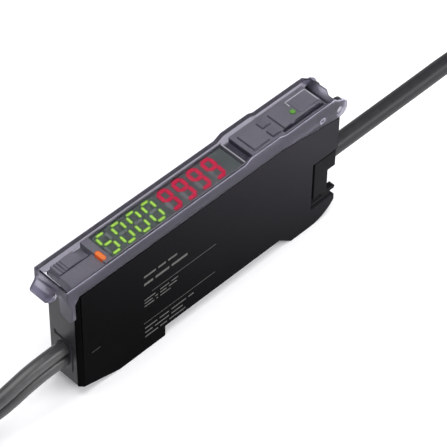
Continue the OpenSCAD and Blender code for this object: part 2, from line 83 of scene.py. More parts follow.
class Pick(Enum):
    """Kind of mesh element that choose() selects."""

    VERT = "verts"
    EDGE = "edges"
    FACE = "faces"


class Body(Enum):
    """CAD bodies that pieces ride on."""

    CASE = "case"
    COVER = "cover"
    LOCK = "lock"
    TUNE = "tune"
    UP = "up"
    DOWN = "down"
    MODE = "mode"


class Lit(Enum):
    """Lit segments of a digit, by their number in SEGMENTS."""

    ZERO = (0, 2, 3, 4, 5, 6)
    FIVE = (0, 1, 2, 3, 6)
    NINE = (0, 1, 2, 3, 5, 6)


# Middle of each segment of a digit, as shares of half its width and half its height: three level ones
# from the top down, then two on the left and two on the right
SEGMENTS = ((0, 1), (0, 0), (0, -1), (-1, 0.5), (-1, -0.5), (1, 0.5), (1, -0.5))


def spot(x: float, y: float, z: float) -> Vector:
    """Returns the row frame's point for millimetres along from the fibre face, across and over the feet."""
    return Vector((FIBRE_FACE + x * MM, y * MM, z * MM))


def linear(shade: str) -> Tone:
    """Turns an sRGB hex colour into linear RGBA.

    Args:
        shade: colour such as "#8090a0".

    Returns:
        Red, green and blue in linear light, and an alpha of 1.
    """
    parts = [int(shade[i : i + 2], 16) / 255 for i in (1, 3, 5)]
    red, green, blue = [c / 12.92 if c <= 0.04045 else ((c + 0.055) / 1.055) ** 2.4 for c in parts]
    return red, green, blue, 1.0


def add_node(
    tree: bpy.types.NodeTree,
    kind: str,
    values: dict[str | int, object] | None = None,
    links: dict[str | int, bpy.types.NodeSocket] | None = None,
    **settings: object,
) -> bpy.types.Node:
    """Adds one shader node.

    Args:
        tree: node tree of the material.
        kind: Blender's name of the node type.
        values: constants by input socket.
        links: outputs of other nodes by input socket.
        settings: properties of the node itself.

    Returns:
        The new node.
    """
    node = tree.nodes.new(kind)
    for name, value in settings.items():
        setattr(node, name, value)
    for socket, value in (values or {}).items():
        node.inputs[socket].default_value = value
    for socket, output in (links or {}).items():
        tree.links.new(output, node.inputs[socket])
    return node


@dataclass(frozen=True)
class Finish:
    """Surface of a real material.

    Args:
        name: what the material is and how its surface was made.
        colour: sRGB colour of the material.
        roughness: spread of its reflection.
        ior: refractive index.
    """

    name: str
    colour: str
    roughness: float
    ior: float = 1.5

    def material(self) -> bpy.types.Material:
        """Makes the finish's material on its first use.

        Returns:
            The material.
        """
        made = bpy.data.materials.get(self.name)
        if made is None:
            made = bpy.data.materials.new(self.name)
            made.use_nodes = True
            shader = made.node_tree.nodes["Principled BSDF"]
            shader.inputs["Base Color"].default_value = linear(self.colour)
            shader.inputs["Roughness"].default_value = self.roughness
            shader.inputs["IOR"].default_value = self.ior
            self.paint(made.node_tree, shader)
        return made

    def paint(self, tree: bpy.types.NodeTree, shader: bpy.types.Node) -> None:
        """Adds the detail of the real surface; a plain finish has none.

        Args:
            tree: node tree of the material.
            shader: its principled shader.
        """


@dataclass(frozen=True)
class Moulded(Finish):
    """Moulded plastic with a spark-eroded grain and a slow change of gloss from the mould's flow.

    A real grain is finer than a pixel, so it is drawn as coarse as it needs to show.

    Args:
        low: colour in the hollows of the grain.
        grain: width of one grain in millimetres.
        depth: depth of the grain in millimetres.
        specular: strength of the surface reflection.
    """

    low: str = "#000000"
    grain: float = 0.3
    depth: float = 0.012
    specular: float = 0.5

    # Noise at which hollows end and crests start, size of a cloud in millimetres, its change of gloss,
    # and the strength of the relief
    hollow, crest = 0.3, 0.55
    cloud = 100 / 9
    sway = 0.06
    strength = 0.6

    def paint(self, tree: bpy.types.NodeTree, shader: bpy.types.Node) -> None:
        """Adds grain to colour and relief, and a slow cloud to the gloss.

        Args:
            tree: node tree of the material.
            shader: its principled shader.
        """
        shader.inputs["Specular IOR Level"].default_value = self.specular
        place = add_node(tree, "ShaderNodeTexCoord").outputs["Object"]
        grain = add_node(
            tree,
            "ShaderNodeTexNoise",
            {"Scale": 1 / (self.grain * MM), "Detail": 2.0, "Roughness": 0.6},
            {"Vector": place},
        )
        cloud = add_node(
            tree, "ShaderNodeTexNoise", {"Scale": 1 / (self.cloud * MM), "Detail": 2.0}, {"Vector": place}
        )
        ramp = add_node(tree, "ShaderNodeValToRGB", links={"Fac": grain.outputs["Fac"]})
        ramp.color_ramp.elements[0].position = self.hollow
        ramp.color_ramp.elements[0].color = linear(self.low)
        ramp.color_ramp.elements[1].position = self.crest
        ramp.color_ramp.elements[1].color = linear(self.colour)
        tree.links.new(ramp.outputs["Color"], shader.inputs["Base Color"])
        gloss = add_node(
            tree,
            "ShaderNodeMapRange",
            {"To Min": self.roughness - self.sway, "To Max": self.roughness + self.sway},
            {"Value": cloud.outputs["Fac"]},
        )
        tree.links.new(gloss.outputs["Result"], shader.inputs["Roughness"])
        bump = add_node(
            tree,
            "ShaderNodeBump",
            {"Strength": self.strength, "Distance": self.depth * MM},
            {"Height": grain.outputs["Fac"]},
        )
        tree.links.new(bump.outputs["Normal"], shader.inputs["Normal"])


@dataclass(frozen=True)
class PaintedSheen(Moulded):
    """Moulded plastic with a painted sheen: its colour grows paler towards its cable end and its top.

    Args:
        pale: colour of the painted sheen where it is strongest.
        start: where the painted sheen starts, along the case and in height.
        reach: distance in millimetres over which the painted sheen reaches its full colour.
        tilt: direction in which the painted sheen grows, in degrees above the length of the case.
    """

    pale: str = "#808080"
    start: tuple[float, float] = (15.0, 5.0)
    reach: float = 53.0
    tilt: float = 48.0

    def paint(self, tree: bpy.types.NodeTree, shader: bpy.types.Node) -> None:
        """Lays a slow rise of painted sheen over the moulded surface.

        Args:
            tree: node tree of the material.
            shader: its principled shader.
        """
        super().paint(tree, shader)
        moulded = shader.inputs["Base Color"].links[0].from_socket
        turn, scale = math.radians(self.tilt), 1 / (self.reach * MM)
        origin = spot(self.start[0], 0.0, self.start[1])
        shift = -(origin.x * math.cos(turn) + origin.z * math.sin(turn)) * scale
        turned = add_node(
            tree,
            "ShaderNodeMapping",
            {"Location": (shift, 0, 0), "Rotation": (0, turn, 0), "Scale": (scale, scale, scale)},
            {"Vector": add_node(tree, "ShaderNodeTexCoord").outputs["Object"]},
        )
        rise = add_node(
            tree,
            "ShaderNodeTexGradient",
            links={"Vector": turned.outputs["Vector"]},
            gradient_type="QUADRATIC",
        )
        mixed = add_node(
            tree,
            "ShaderNodeMixRGB",
            {"Color2": linear(self.pale)},
            {"Fac": rise.outputs["Fac"], "Color1": moulded},
        )
        tree.links.new(mixed.outputs["Color"], shader.inputs["Base Color"])


@dataclass(frozen=True)
class Clear(Finish):
    """Clear plastic, tinted through its depth, with faint smears from handling.

    Args:
        tint: colour that the depth of the plastic lets through.
        density: how much light a metre of it takes up, or 0 for a thin sheet.
        frosted: colour where the piece's own frost attribute says that the mould is rough, if it has one.
        haze: roughness that a rough mould adds.
        gleam: colour of the light that its surface throws straight back.
        smear: length of one smear in millimetres.
    """

    tint: str = "#ffffff"
    density: float = 0.0
    frosted: str = ""
    haze: float = 0.6
    gleam: str = "#ffffff"
    smear: float = 5.0

    # Roughness between and on the smears, as shares of the finish's own
    wiped, smeared = 0.4, 1.6

    def paint(self, tree: bpy.types.NodeTree, shader: bpy.types.Node) -> None:
        """Lets light through, takes some of it up on the way, and smears and frosts the surface.

        Args:
            tree: node tree of the material.
            shader: its principled shader.
        """
        shader.inputs["Transmission Weight"].default_value = 1.0
        place = add_node(tree, "ShaderNodeTexCoord").outputs["Object"]
        smears = add_node(
            tree, "ShaderNodeTexNoise", {"Scale": 1 / (self.smear * MM), "Detail": 3.0}, {"Vector": place}
        )
        gloss = add_node(
            tree,
            "ShaderNodeMapRange",
            {"To Min": self.wiped * self.roughness, "To Max": self.smeared * self.roughness},
            {"Value": smears.outputs["Fac"]},
        )
        tree.links.new(gloss.outputs["Result"], shader.inputs["Roughness"])
        shader.inputs["Specular Tint"].default_value = linear(self.gleam)
        if self.frosted:
            frost = add_node(tree, "ShaderNodeAttribute", attribute_name="frost")
            ramp = add_node(tree, "ShaderNodeValToRGB", links={"Fac": frost.outputs["Fac"]})
            ramp.color_ramp.elements[0].color = linear(self.colour)
            ramp.color_ramp.elements[1].color = linear(self.frosted)
            tree.links.new(ramp.outputs["Color"], shader.inputs["Base Color"])
            rough = add_node(
                tree,
                "ShaderNodeMath",
                {1: self.haze},
                {0: frost.outputs["Fac"], 2: gloss.outputs["Result"]},
                operation="MULTIPLY_ADD",
            )
            tree.links.new(rough.outputs["Value"], shader.inputs["Roughness"])
        if self.density:
            depth = add_node(
                tree,
                "ShaderNodeVolumeAbsorption",
                {"Color": linear(self.tint), "Density": self.density},
            )
            tree.links.new(depth.outputs["Volume"], tree.nodes["Material Output"].inputs["Volume"])


@dataclass(frozen=True)
class Glowing(Finish):
    """Plastic light guide lit from behind: brighter along its middle than at its rim.

    Args:
        rim: colour of the rim.
        power: strength of the light that it gives off.
    """

    rim: str = "#000000"
    power: float = 1.0

    def paint(self, tree: bpy.types.NodeTree, shader: bpy.types.Node) -> None:
        """Gives off light by the piece's own core attribute, from rim to middle.

        Args:
            tree: node tree of the material.
            shader: its principled shader.
        """
        core = add_node(tree, "ShaderNodeAttribute", attribute_name="core")
        ramp = add_node(tree, "ShaderNodeValToRGB", links={"Fac": core.outputs["Fac"]})
        ramp.color_ramp.elements[0].color = linear(self.rim)
        ramp.color_ramp.elements[1].color = linear(self.colour)
        tree.links.new(ramp.outputs["Color"], shader.inputs["Base Color"])
        tree.links.new(ramp.outputs["Color"], shader.inputs["Emission Color"])
        shader.inputs["Emission Strength"].default_value = self.power


@dataclass(frozen=True)
class Sheathed(Finish):
    """Extruded cord sheath: a soft sheen with faint drag marks and handling smudges.

    Args:
        worn: lighter colour where the sheath has been rubbed.
        mark: length of one mark in millimetres.
        specular: strength of the surface reflection.
    """

    worn: str = "#808080"
    mark: float = 1.6
    specular: float = 0.5

    # Noise at which rubbing starts and is complete, change of gloss, and the relief in millimetres
    fresh, rubbed = 0.35, 0.85
    sway = 0.08
    strength, depth = 0.3, 0.02

    def paint(self, tree: bpy.types.NodeTree, shader: bpy.types.Node) -> None:
        """Mixes rubbed patches into the colour, the gloss and the relief.

        Args:
            tree: node tree of the material.
            shader: its principled shader.
        """
        shader.inputs["Specular IOR Level"].default_value = self.specular
        place = add_node(tree, "ShaderNodeTexCoord").outputs["Object"]
        rub = add_node(
            tree, "ShaderNodeTexNoise", {"Scale": 1 / (self.mark * MM), "Detail": 4.0}, {"Vector": place}
        )
        ramp = add_node(tree, "ShaderNodeValToRGB", links={"Fac": rub.outputs["Fac"]})
        ramp.color_ramp.elements[0].position = self.fresh
        ramp.color_ramp.elements[0].color = linear(self.colour)
        ramp.color_ramp.elements[1].position = self.rubbed
        ramp.color_ramp.elements[1].color = linear(self.worn)
        tree.links.new(ramp.outputs["Color"], shader.inputs["Base Color"])
        gloss = add_node(
            tree,
            "ShaderNodeMapRange",
            {"To Min": self.roughness - self.sway, "To Max": self.roughness + self.sway},
            {"Value": rub.outputs["Fac"]},
        )
        tree.links.new(gloss.outputs["Result"], shader.inputs["Roughness"])
        bump = add_node(
            tree,
            "ShaderNodeBump",
            {"Strength": self.strength, "Distance": self.depth * MM},
            {"Height": rub.outputs["Fac"]},
        )
        tree.links.new(bump.outputs["Normal"], shader.inputs["Normal"])


@dataclass(frozen=True)
class Metal(Finish):
    """Turned and plated metal with fine tool marks round the axis, drawn coarse enough to show.

    Args:
        pitch: distance between tool marks in millimetres.
    """

    pitch: float = 0.12

    # Scale of the wave for one mark, and what a mark takes from and adds to the roughness
    wave = 0.05
    smoother, rougher = 0.07, 0.1

    def paint(self, tree: bpy.types.NodeTree, shader: bpy.types.Node) -> None:
        """Makes the surface metallic and rings it with tool marks.

        Args:
            tree: node tree of the material.
            shader: its principled shader.
        """
        shader.inputs["Metallic"].default_value = 1.0
        place = add_node(tree, "ShaderNodeTexCoord").outputs["Object"]
        rings = add_node(
            tree,
            "ShaderNodeTexWave",
            {"Scale": self.wave / (self.pitch * MM), "Distortion": 0.6, "Detail": 2.0},
            {"Vector": place},
            bands_direction="X",
        )
        gloss = add_node(
            tree,
            "ShaderNodeMapRange",
            {"To Min": self.roughness - self.smoother, "To Max": self.roughness + self.rougher},
            {"Value": rings.outputs["Fac"]},
        )
        tree.links.new(gloss.outputs["Result"], shader.inputs["Roughness"])


@dataclass(frozen=True)
class Inked(Finish):
    """Pad-printed ink: matt, a little thinner in places.

    Args:
        thin: colour where the ink is thin.
    """

    thin: str = "#404040"

    # Size of a thin patch in millimetres, and noise at which the ink is thin and full
    patch = 0.5
    scant, full = 0.3, 0.6

    def paint(self, tree: bpy.types.NodeTree, shader: bpy.types.Node) -> None:
        """Lets the ground show where the ink is thin.

        Args:
            tree: node tree of the material.
            shader: its principled shader.
        """
        place = add_node(tree, "ShaderNodeTexCoord").outputs["Object"]
        spread = add_node(
            tree, "ShaderNodeTexNoise", {"Scale": 1 / (self.patch * MM), "Detail": 3.0}, {"Vector": place}
        )
        ramp = add_node(tree, "ShaderNodeValToRGB", links={"Fac": spread.outputs["Fac"]})
        ramp.color_ramp.elements[0].position = self.scant
        ramp.color_ramp.elements[0].color = linear(self.thin)
        ramp.color_ramp.elements[1].position = self.full
        ramp.color_ramp.elements[1].color = linear(self.colour)
        tree.links.new(ramp.outputs["Color"], shader.inputs["Base Color"])


# ABS with carbon black, spark-eroded mould: a deep matt black with hardly any reflection, with a painted
# sheen that grows paler towards the cable end and the top
BLACK_ABS = PaintedSheen(
    "black_abs_spark_eroded", "#0a090a", 0.6, 1.46, low="#060607", specular=0.01, pale="#302f33"
)
# ABS in charcoal grey, satin mould: dark grey in soft light, with a fine even grain
CHARCOAL_ABS = Moulded("charcoal_abs_satin", "#28272b", 0.42, 1.5, low="#222125", grain=0.25, specular=0.3)
# PC-ABS in mid grey, satin mould: looks dark under the smoky cover and plain grey without it
PANEL_PCABS = Moulded("grey_pcabs_satin", "#95949b", 0.5, 1.55, low="#8d8c93", grain=0.35, specular=0.3)
# The same plastic on the keys, polished a little by fingers: a slightly tighter sheen
KEY_PCABS = Moulded("grey_pcabs_keys", "#95949b", 0.42, 1.55, low="#8e8d94", grain=0.35, specular=0.3)
# The same plastic made nearly black: painted shade in recesses and gaps and behind the cover's skirts
SHADE_PCABS = Moulded("grey_pcabs_recess", "#34343d", 0.7, 1.5, low="#2c2c34", specular=0.1)
# The same plastic darkened to a mid tone: painted shade on the groove's floor and riser
GROOVE_SHADE_PCABS = Moulded("grey_pcabs_groove", "#5e5d66", 0.6, 1.5, low="#56555e", specular=0.15)
# Polycarbonate with a smoke tint in its depth, polished mould: grey lavender, darker where it is thick
SMOKE_POLYCARBONATE = Clear(
    "smoke_polycarbonate_polished",
    "#fafafc",
    0.04,
    1.35,
    tint="#aeaab6",
    density=560.0,
    frosted="#7b7592",
    gleam="#6f67a2",
)
# The same polycarbonate made pale and opaque: a painted highlight along the cover's long upper edges, and
# its raised mark
PALE_HIGHLIGHT_POLYCARBONATE = Moulded(
    "smoke_polycarbonate_scuffed", "#b9b5c8", 0.45, 1.5, low="#a29eb2", grain=0.6, specular=0.3
)
# Acrylic filter in front of the display: thin, a little grey, slightly matt against glare
FILTER_ACRYLIC = Clear("grey_acrylic_filter", "#f4f8f6", 0.09, 1.4)
# Display face of grey epoxy, and the same epoxy over a segment that is off, milky and lighter
DISPLAY_EPOXY = Moulded("display_epoxy_matt", "#919896", 0.6, 1.5, low="#8a918f", grain=0.5, specular=0.2)
UNLIT_EPOXY = Moulded("unlit_segment_epoxy", "#b6baba", 0.5, 1.5, low="#afb3b3", grain=0.5, specular=0.2)
# Milky light guides lit from behind: a bright core and a deeper colour at the rim
GREEN_SEGMENT = Glowing("green_light_guide", "#b9e05a", 0.4, 1.5, rim="#4a9018", power=0.9)
RED_SEGMENT = Glowing("red_light_guide", "#e01a48", 0.4, 1.5, rim="#b80a36", power=0.8)
ORANGE_LAMP = Glowing("orange_light_guide", "#f5853a", 0.4, 1.5, rim="#d8540c", power=0.62)
GREEN_LENS = Glowing("green_light_guide_dim", "#7fcf4a", 0.4, 1.5, rim="#4c8a2c", power=0.25)
# Elastomer of the cable bush: dull, with a few greyer patches
BUSH_TPE = Sheathed("black_tpe_moulded", "#121214", 0.55, 1.5, worn="#1e1e20", mark=0.8, specular=0.03)
# PVC cable sheath and polyethylene fibre sheath: both dark with a long soft streak of light
CABLE_PVC = Sheathed("grey_pvc_extruded", "#1b1a1e", 0.46, 1.53, worn="#242327", specular=0.26)
FIBRE_PE = Sheathed("grey_polyethylene_extruded", "#3b3b3c", 0.36, 1.51, worn="#464647", specular=0.45)
# Nylon without pigment: ivory and a little waxy
TIE_NYLON = Moulded("natural_nylon_moulded", "#e4e3dc", 0.4, 1.53, low="#dad9d1", grain=0.6)
# Thin PVC over the three cores: each in its plain colour, with a soft sheen
CORES = {
    "brown": Sheathed("brown_pvc_core", "#6b3f22", 0.4, 1.53, worn="#7a4a2a"),
    "black": Sheathed("black_pvc_core", "#1b1b1c", 0.4, 1.53, worn="#262627"),
    "blue": Sheathed("blue_pvc_core", "#2a5aa8", 0.4, 1.53, worn="#3767b4"),
}
# Turned brass with nickel plate, turned steel, and tinned strands: bright with rings of tool marks
NICKEL = Metal("nickel_plated_brass", "#c9c6bd", 0.25)
STEEL = Metal("stainless_steel_turned", "#c2c4c7", 0.28)
COPPER = Metal("tinned_copper_strands", "#cfc9c2", 0.35, pitch=0.2)
# Glass epoxy board under green lacquer: a deep green with a satin gloss
BOARD_FR4 = Moulded("fr4_green_mask", "#1f5a3a", 0.35, 1.5, low="#1a4f33", grain=1.0)
# Small moulded parts inside the case: waxy ivory, dull black, watery grey and slate blue
IVORY_NYLON = Moulded("ivory_nylon", "#d9d4c4", 0.45, 1.53, low="#cfcaba", grain=0.6)
EPOXY_BLACK = Moulded("black_epoxy_package", "#222225", 0.5, 1.5, low="#1b1b1e", grain=0.3)
CLEAR_EPOXY = Moulded("water_clear_epoxy", "#c9d6d2", 0.2, 1.55, low="#bfccc8", grain=1.0)
BLUE_SLEEVE = Moulded("blue_pvc_sleeve", "#3b4a66", 0.4, 1.53, low="#34425c", grain=0.8)
# Pad-printed inks: matt, thin in places; the white one also paints the highlight on the groove's edge
LIGHT_INK = Inked("light_grey_pad_print", "#50504d", 0.6, 1.5, thin="#383735")
WHITE_INK_AND_HIGHLIGHT = Inked("white_pad_print", "#fafafb", 0.6, 1.5, thin="#e6e6ea")
# White acrylic of the studio table, lit a little from below: hardly a shadow shows on it
TABLE_ACRYLIC = Glowing("white_acrylic_table", "#f8f8f9", 0.7, 1.49, rim="#f8f8f9", power=0.15)


def alone(piece: Piece) -> None:
    """Makes a piece the active one and the only one selected.

    Args:
        piece: object of the scene.
    """
    bpy.ops.object.select_all(action="DESELECT")
    bpy.context.view_layer.objects.active = piece
    piece.select_set(True)


def placed(name: str, data: bpy.types.ID) -> Piece:
    """Puts a mesh, a curve, a light or a camera into the scene.

    Args:
        name: name of the new object.
        data: what the object shows.

    Returns:
        The object.
    """
    piece = bpy.data.objects.new(name, data)
    bpy.context.scene.collection.objects.link(piece)
    return piece


@contextmanager
def editing(piece: Piece) -> Iterator[None]:
    """Opens a piece in edit mode, alone, and leaves edit mode again.

    Args:
        piece: mesh object to edit.
    """
    alone(piece)
    bpy.ops.object.mode_set(mode="EDIT")
    try:
        yield
    finally:
        bpy.ops.object.mode_set(mode="OBJECT")


def choose(piece: Piece, pick: Pick, test: Callable[[object], bool]) -> None:
    """Selects what passes a test, in edit mode.

    Args:
        piece: mesh object in edit mode.
        pick: kind of element.
        test: says whether an element is selected.
    """
    bpy.ops.mesh.select_mode(type=pick.name)
    bpy.ops.mesh.select_all(action="DESELECT")
    form = bmesh.from_edit_mesh(piece.data)
    for element in getattr(form, pick.value):
        if test(element):
            element.select_set(True)
    bmesh.update_edit_mesh(piece.data)


def score(places: Sequence[float]) -> None:
    """Adds edges round the mesh in edit mode, where planes across X meet it.

    Args:
        places: places of the planes along X, in metres.
    """
    for place in places:
        bpy.ops.mesh.select_all(action="SELECT")
        bpy.ops.mesh.bisect(plane_co=(place, 0, 0), plane_no=(1, 0, 0))


def modify(piece: Piece, kind: str, **settings: object) -> None:
    """Puts a modifier on a piece and applies it.

    Args:
        piece: mesh object to change.
        kind: Blender's name of the modifier type.
        settings: properties of the modifier.
    """
    alone(piece)
    change = piece.modifiers.new(kind.lower(), kind)
    for name, value in settings.items():
        setattr(change, name, value)
    bpy.ops.object.modifier_apply(modifier=change.name)


def settle(piece: Piece, name: str) -> Piece:
    """Names a piece, puts its place into its mesh and shades it smooth, with its flats kept flat.

    Args:
        piece: mesh object that an operator made.
        name: name of the piece.

    Returns:
        The same piece.
    """
    piece.name = name
    piece.data.name = name
    alone(piece)
    bpy.ops.object.transform_apply(location=True, rotation=True, scale=True)
    bpy.ops.object.shade_smooth_by_angle(angle=SMOOTH)
    modify(piece, "WEIGHTED_NORMAL", keep_sharp=True)
    return piece


def dress(piece: Piece, body: Body, finish: Finish, stands_for: Sequence[str] = ()) -> None:
    """Gives a piece its finish and its place on a body.

    Args:
        piece: finished mesh or curve object.
        body: CAD body that it moves with.
        finish: surface of the piece.
        stands_for: CAD nodes that the piece is shown in place of.
    """
    piece.data.materials.clear()
    piece.data.materials.append(finish.material())
    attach(piece, body.value)
    if stands_for:
        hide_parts(*stands_for)
    LOG.info("%s rides on %s", piece.name, body.value)


def dress_nodes(finish: Finish, *nodes: str) -> None:
    """Gives CAD nodes that are shown as they are their finish.

    Args:
        finish: surface of the nodes.
        nodes: names of the nodes.
    """
    for node in nodes:
        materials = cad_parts[node].data.materials
        materials.clear()
        materials.append(finish.material())
        LOG.info("%s shown as drawn", node)


def rounded_copy(node: str, name: str, radius: float, segments: int = 2) -> Piece:
    """Copies a CAD node and rounds its edges, as a mould does.

    Args:
        node: name of the CAD node.
        name: name of the copy.
        radius: radius of the edges in millimetres.
        segments: faces round an edge.

    Returns:
        The rounded piece, in the node's place.
    """
    piece = placed(name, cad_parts[node].data.copy())
    width = radius * MM
    shortest = SHORTEST * width
    with editing(piece):
        bpy.ops.mesh.select_all(action="SELECT")
        bpy.ops.mesh.remove_doubles(threshold=MERGE)
        bpy.ops.mesh.dissolve_limited(angle_limit=FLAT)
        choose(piece, Pick.EDGE, lambda e: e.calc_face_angle(0) > SHARP and e.calc_length() > shortest)
        bpy.ops.mesh.bevel(offset=width, segments=segments, affect="EDGES", clamp_overlap=False)
    return settle(piece, name)


def recast(
    node: str, name: str, radius: float, finish: Finish, body: Body = Body.CASE
) -> None:
    """Shows a CAD node as a dressed copy with rounded edges; the radius is in millimetres."""
    dress(rounded_copy(node, name, radius), body, finish, [node])


def soften(piece: Piece, radius: float) -> None:
    """Rounds all edges of a new piece.

    Args:
        piece: mesh object with sharp edges.
        radius: radius of the edges in millimetres.
    """
    with editing(piece):
        bpy.ops.mesh.select_all(action="SELECT")
        bpy.ops.mesh.bevel(offset=radius * MM, segments=2, affect="EDGES")


def block(box: Box, radius: float = 0.0, shift: Spot = (0.0, 0.0, 0.0)) -> Piece:
    """Models a block with rounded edges.

    Args:
        box: lowest and highest corner in millimetres from the fibre face.
        radius: radius of its edges in millimetres.
        shift: what is added to both corners.

    Returns:
        The block, still to be named.
    """
    low, high = (spot(*(c + s for c, s in zip(corner, shift))) for corner in box)
    bpy.ops.object.select_all(action="DESELECT")
    bpy.ops.mesh.primitive_cube_add(size=1, location=(low + high) / 2, scale=high - low)
    piece = bpy.context.object
    bpy.ops.object.transform_apply(location=True, rotation=True, scale=True)
    if radius:
        soften(piece, radius)
    return piece


def drum(middle: Vector, radius: float, length: float, sides: int) -> Piece:
    """Models a cylinder or a prism along X.

    Args:
        middle: its middle in metres.
        radius: its radius in metres.
        length: its length in metres.
        sides: number of its sides.

    Returns:
        The cylinder, still to be named.
    """
    bpy.ops.object.select_all(action="DESELECT")
    bpy.ops.mesh.primitive_cylinder_add(
        vertices=sides, radius=radius, depth=length, location=middle, rotation=(0, math.pi / 2, 0)
    )
    bpy.ops.object.transform_apply(location=True, rotation=True, scale=True)
    return bpy.context.object


def joined(name: str, pieces: Sequence[Piece]) -> Piece:
    """Joins pieces into one.

    Args:
        name: name of the joined piece.
        pieces: mesh objects to join.

    Returns:
        The joined piece.
    """
    alone(pieces[0])
    if len(pieces) > 1:
        for piece in pieces:
            piece.select_set(True)
        bpy.ops.object.join()
    return settle(pieces[0], name)


def trim(
    name: str, finish: Finish, boxes: Sequence[Box], radius: float = 0.0, body: Body = Body.CASE
) -> None:
    """Models a piece of thin trim out of blocks and dresses it; the radius is in millimetres."""
    dress(joined(name, [block(box, radius) for box in boxes]), body, finish)


def cut(piece: Piece, tool: Piece) -> None:
    """Cuts a tool's mesh out of a piece and removes the tool."""
    modify(piece, "BOOLEAN", object=tool, operation="DIFFERENCE", solver="EXACT")
    bpy.data.objects.remove(tool)


@dataclass(frozen=True)
class SoftBox:
    """Soft light.

    Args:
        name: name of the light.
        place: its middle, in metres.
        aim: point that it faces, in metres.
        size: its width and height in metres.
        power: its power in watts.
    """

    name: str
    place: Spot
    aim: Spot
    size: tuple[float, float]
    power: float

    def build(self) -> None:
        """Adds the light."""
        lamp = bpy.data.lights.new(self.name, "AREA")
        lamp.shape = "RECTANGLE"
        lamp.size, lamp.size_y = self.size
        lamp.energy = self.power
        box = placed(self.name, lamp)
        box.location = self.place
        box.rotation_euler = (Vector(self.aim) - Vector(self.place)).to_track_quat("-Z", "Y").to_euler()


@dataclass
class Studio:
    """Camera, lights and floor.

    Args:
        azimuth: direction of the camera, in degrees from the label side towards the fibre face.
        elevation: height of the camera over the horizon, in degrees.
        roll: turn of the camera about its own axis, in degrees.
        distance: distance from the camera to its target, in millimetres.
        target: point in the middle of the view.
        lens: focal length in millimetres.
        sensor: width of the sensor in millimetres.
        clip: nearest and furthest distance that the camera sees, in metres.
        floor_side: side of the floor in metres.
        wall: linear colour of the surround up to the horizon.
        ceiling: linear colour of the surround overhead.
        ceiling_start: height at which the ceiling's colour is reached, as a share of straight up.
        boxes: soft lights, one overhead and one strip for the edges.
    """

    azimuth: float = 45.626
    elevation: float = 47.803
    roll: float = 1.011
    distance: float = 509.68
    target: Spot = (47.11, 0.0, 14.929)
    lens: float = 188.23
    sensor: float = 36.0
    clip: tuple[float, float] = (0.01, 20.0)
    floor_side: float = 6.0
    wall: Tone = (0.9, 0.9, 0.9, 1)
    ceiling: Tone = (0.24, 0.24, 0.25, 1)
    ceiling_start: float = 0.6
    boxes: Sequence[SoftBox] = (
        SoftBox("over", (0.0, 0.05, 1.1), (0.0, 0.05, 0.0), (1.0, 1.0), 12.5),
        SoftBox("edge", (0.2, -0.3, 0.19), (0.01, 0.0, 0.03), (0.3, 0.1), 1.1),
    )

    def build(self) -> None:
        """Sets up the whole studio."""
        self.add_camera()
        self.add_floor()
        self.add_surround()
        for box in self.boxes:
            box.build()

    def add_camera(self) -> None:
        """Adds the camera at the photograph's angle."""
        side, rise = math.radians(self.azimuth), math.radians(self.elevation)
        level = math.cos(rise)
        back = Vector((-math.sin(side) * level, -math.cos(side) * level, math.sin(rise)))
        right = (-back).cross(Vector((0, 0, 1))).normalized()
        up = right.cross(-back)
        turn = math.radians(self.roll)
        across = right * math.cos(turn) + up * math.sin(turn)
        above = up * math.cos(turn) - right * math.sin(turn)
        view = bpy.data.cameras.new("camera")
        view.lens = self.lens
        view.sensor_width = self.sensor
        view.clip_start, view.clip_end = self.clip
        camera = placed("camera", view)
        place = Matrix((across, above, back)).transposed().to_4x4()
        place.translation = spot(*self.target) + back * (self.distance * MM)
        camera.matrix_world = place
        bpy.context.scene.camera = camera
        bpy.context.scene.view_settings.view_transform = "Standard"

    def add_floor(self) -> None:
        """Adds the pale floor that the object stands on."""
        bpy.ops.object.select_all(action="DESELECT")
        bpy.ops.mesh.primitive_plane_add(size=self.floor_side)
        floor = bpy.context.object
        floor.name = "studio_floor"
        floor.data.materials.append(TABLE_ACRYLIC.material())

    def add_surround(self) -> None:
        """Adds pale walls under a darker ceiling."""
        world = bpy.data.worlds.new("studio_surround")
        world.use_nodes = True
        bpy.context.scene.world = world
        tree = world.node_tree
        way = add_node(tree, "ShaderNodeTexCoord").outputs["Generated"]
        height = add_node(tree, "ShaderNodeSeparateXYZ", links={"Vector": way}).outputs["Z"]
        ramp = add_node(tree, "ShaderNodeValToRGB", links={"Fac": height})
        ramp.color_ramp.elements[0].color = self.wall
        ramp.color_ramp.elements[1].position = self.ceiling_start
        ramp.color_ramp.elements[1].color = self.ceiling
        tree.links.new(ramp.outputs["Color"], tree.nodes["Background"].inputs["Color"])


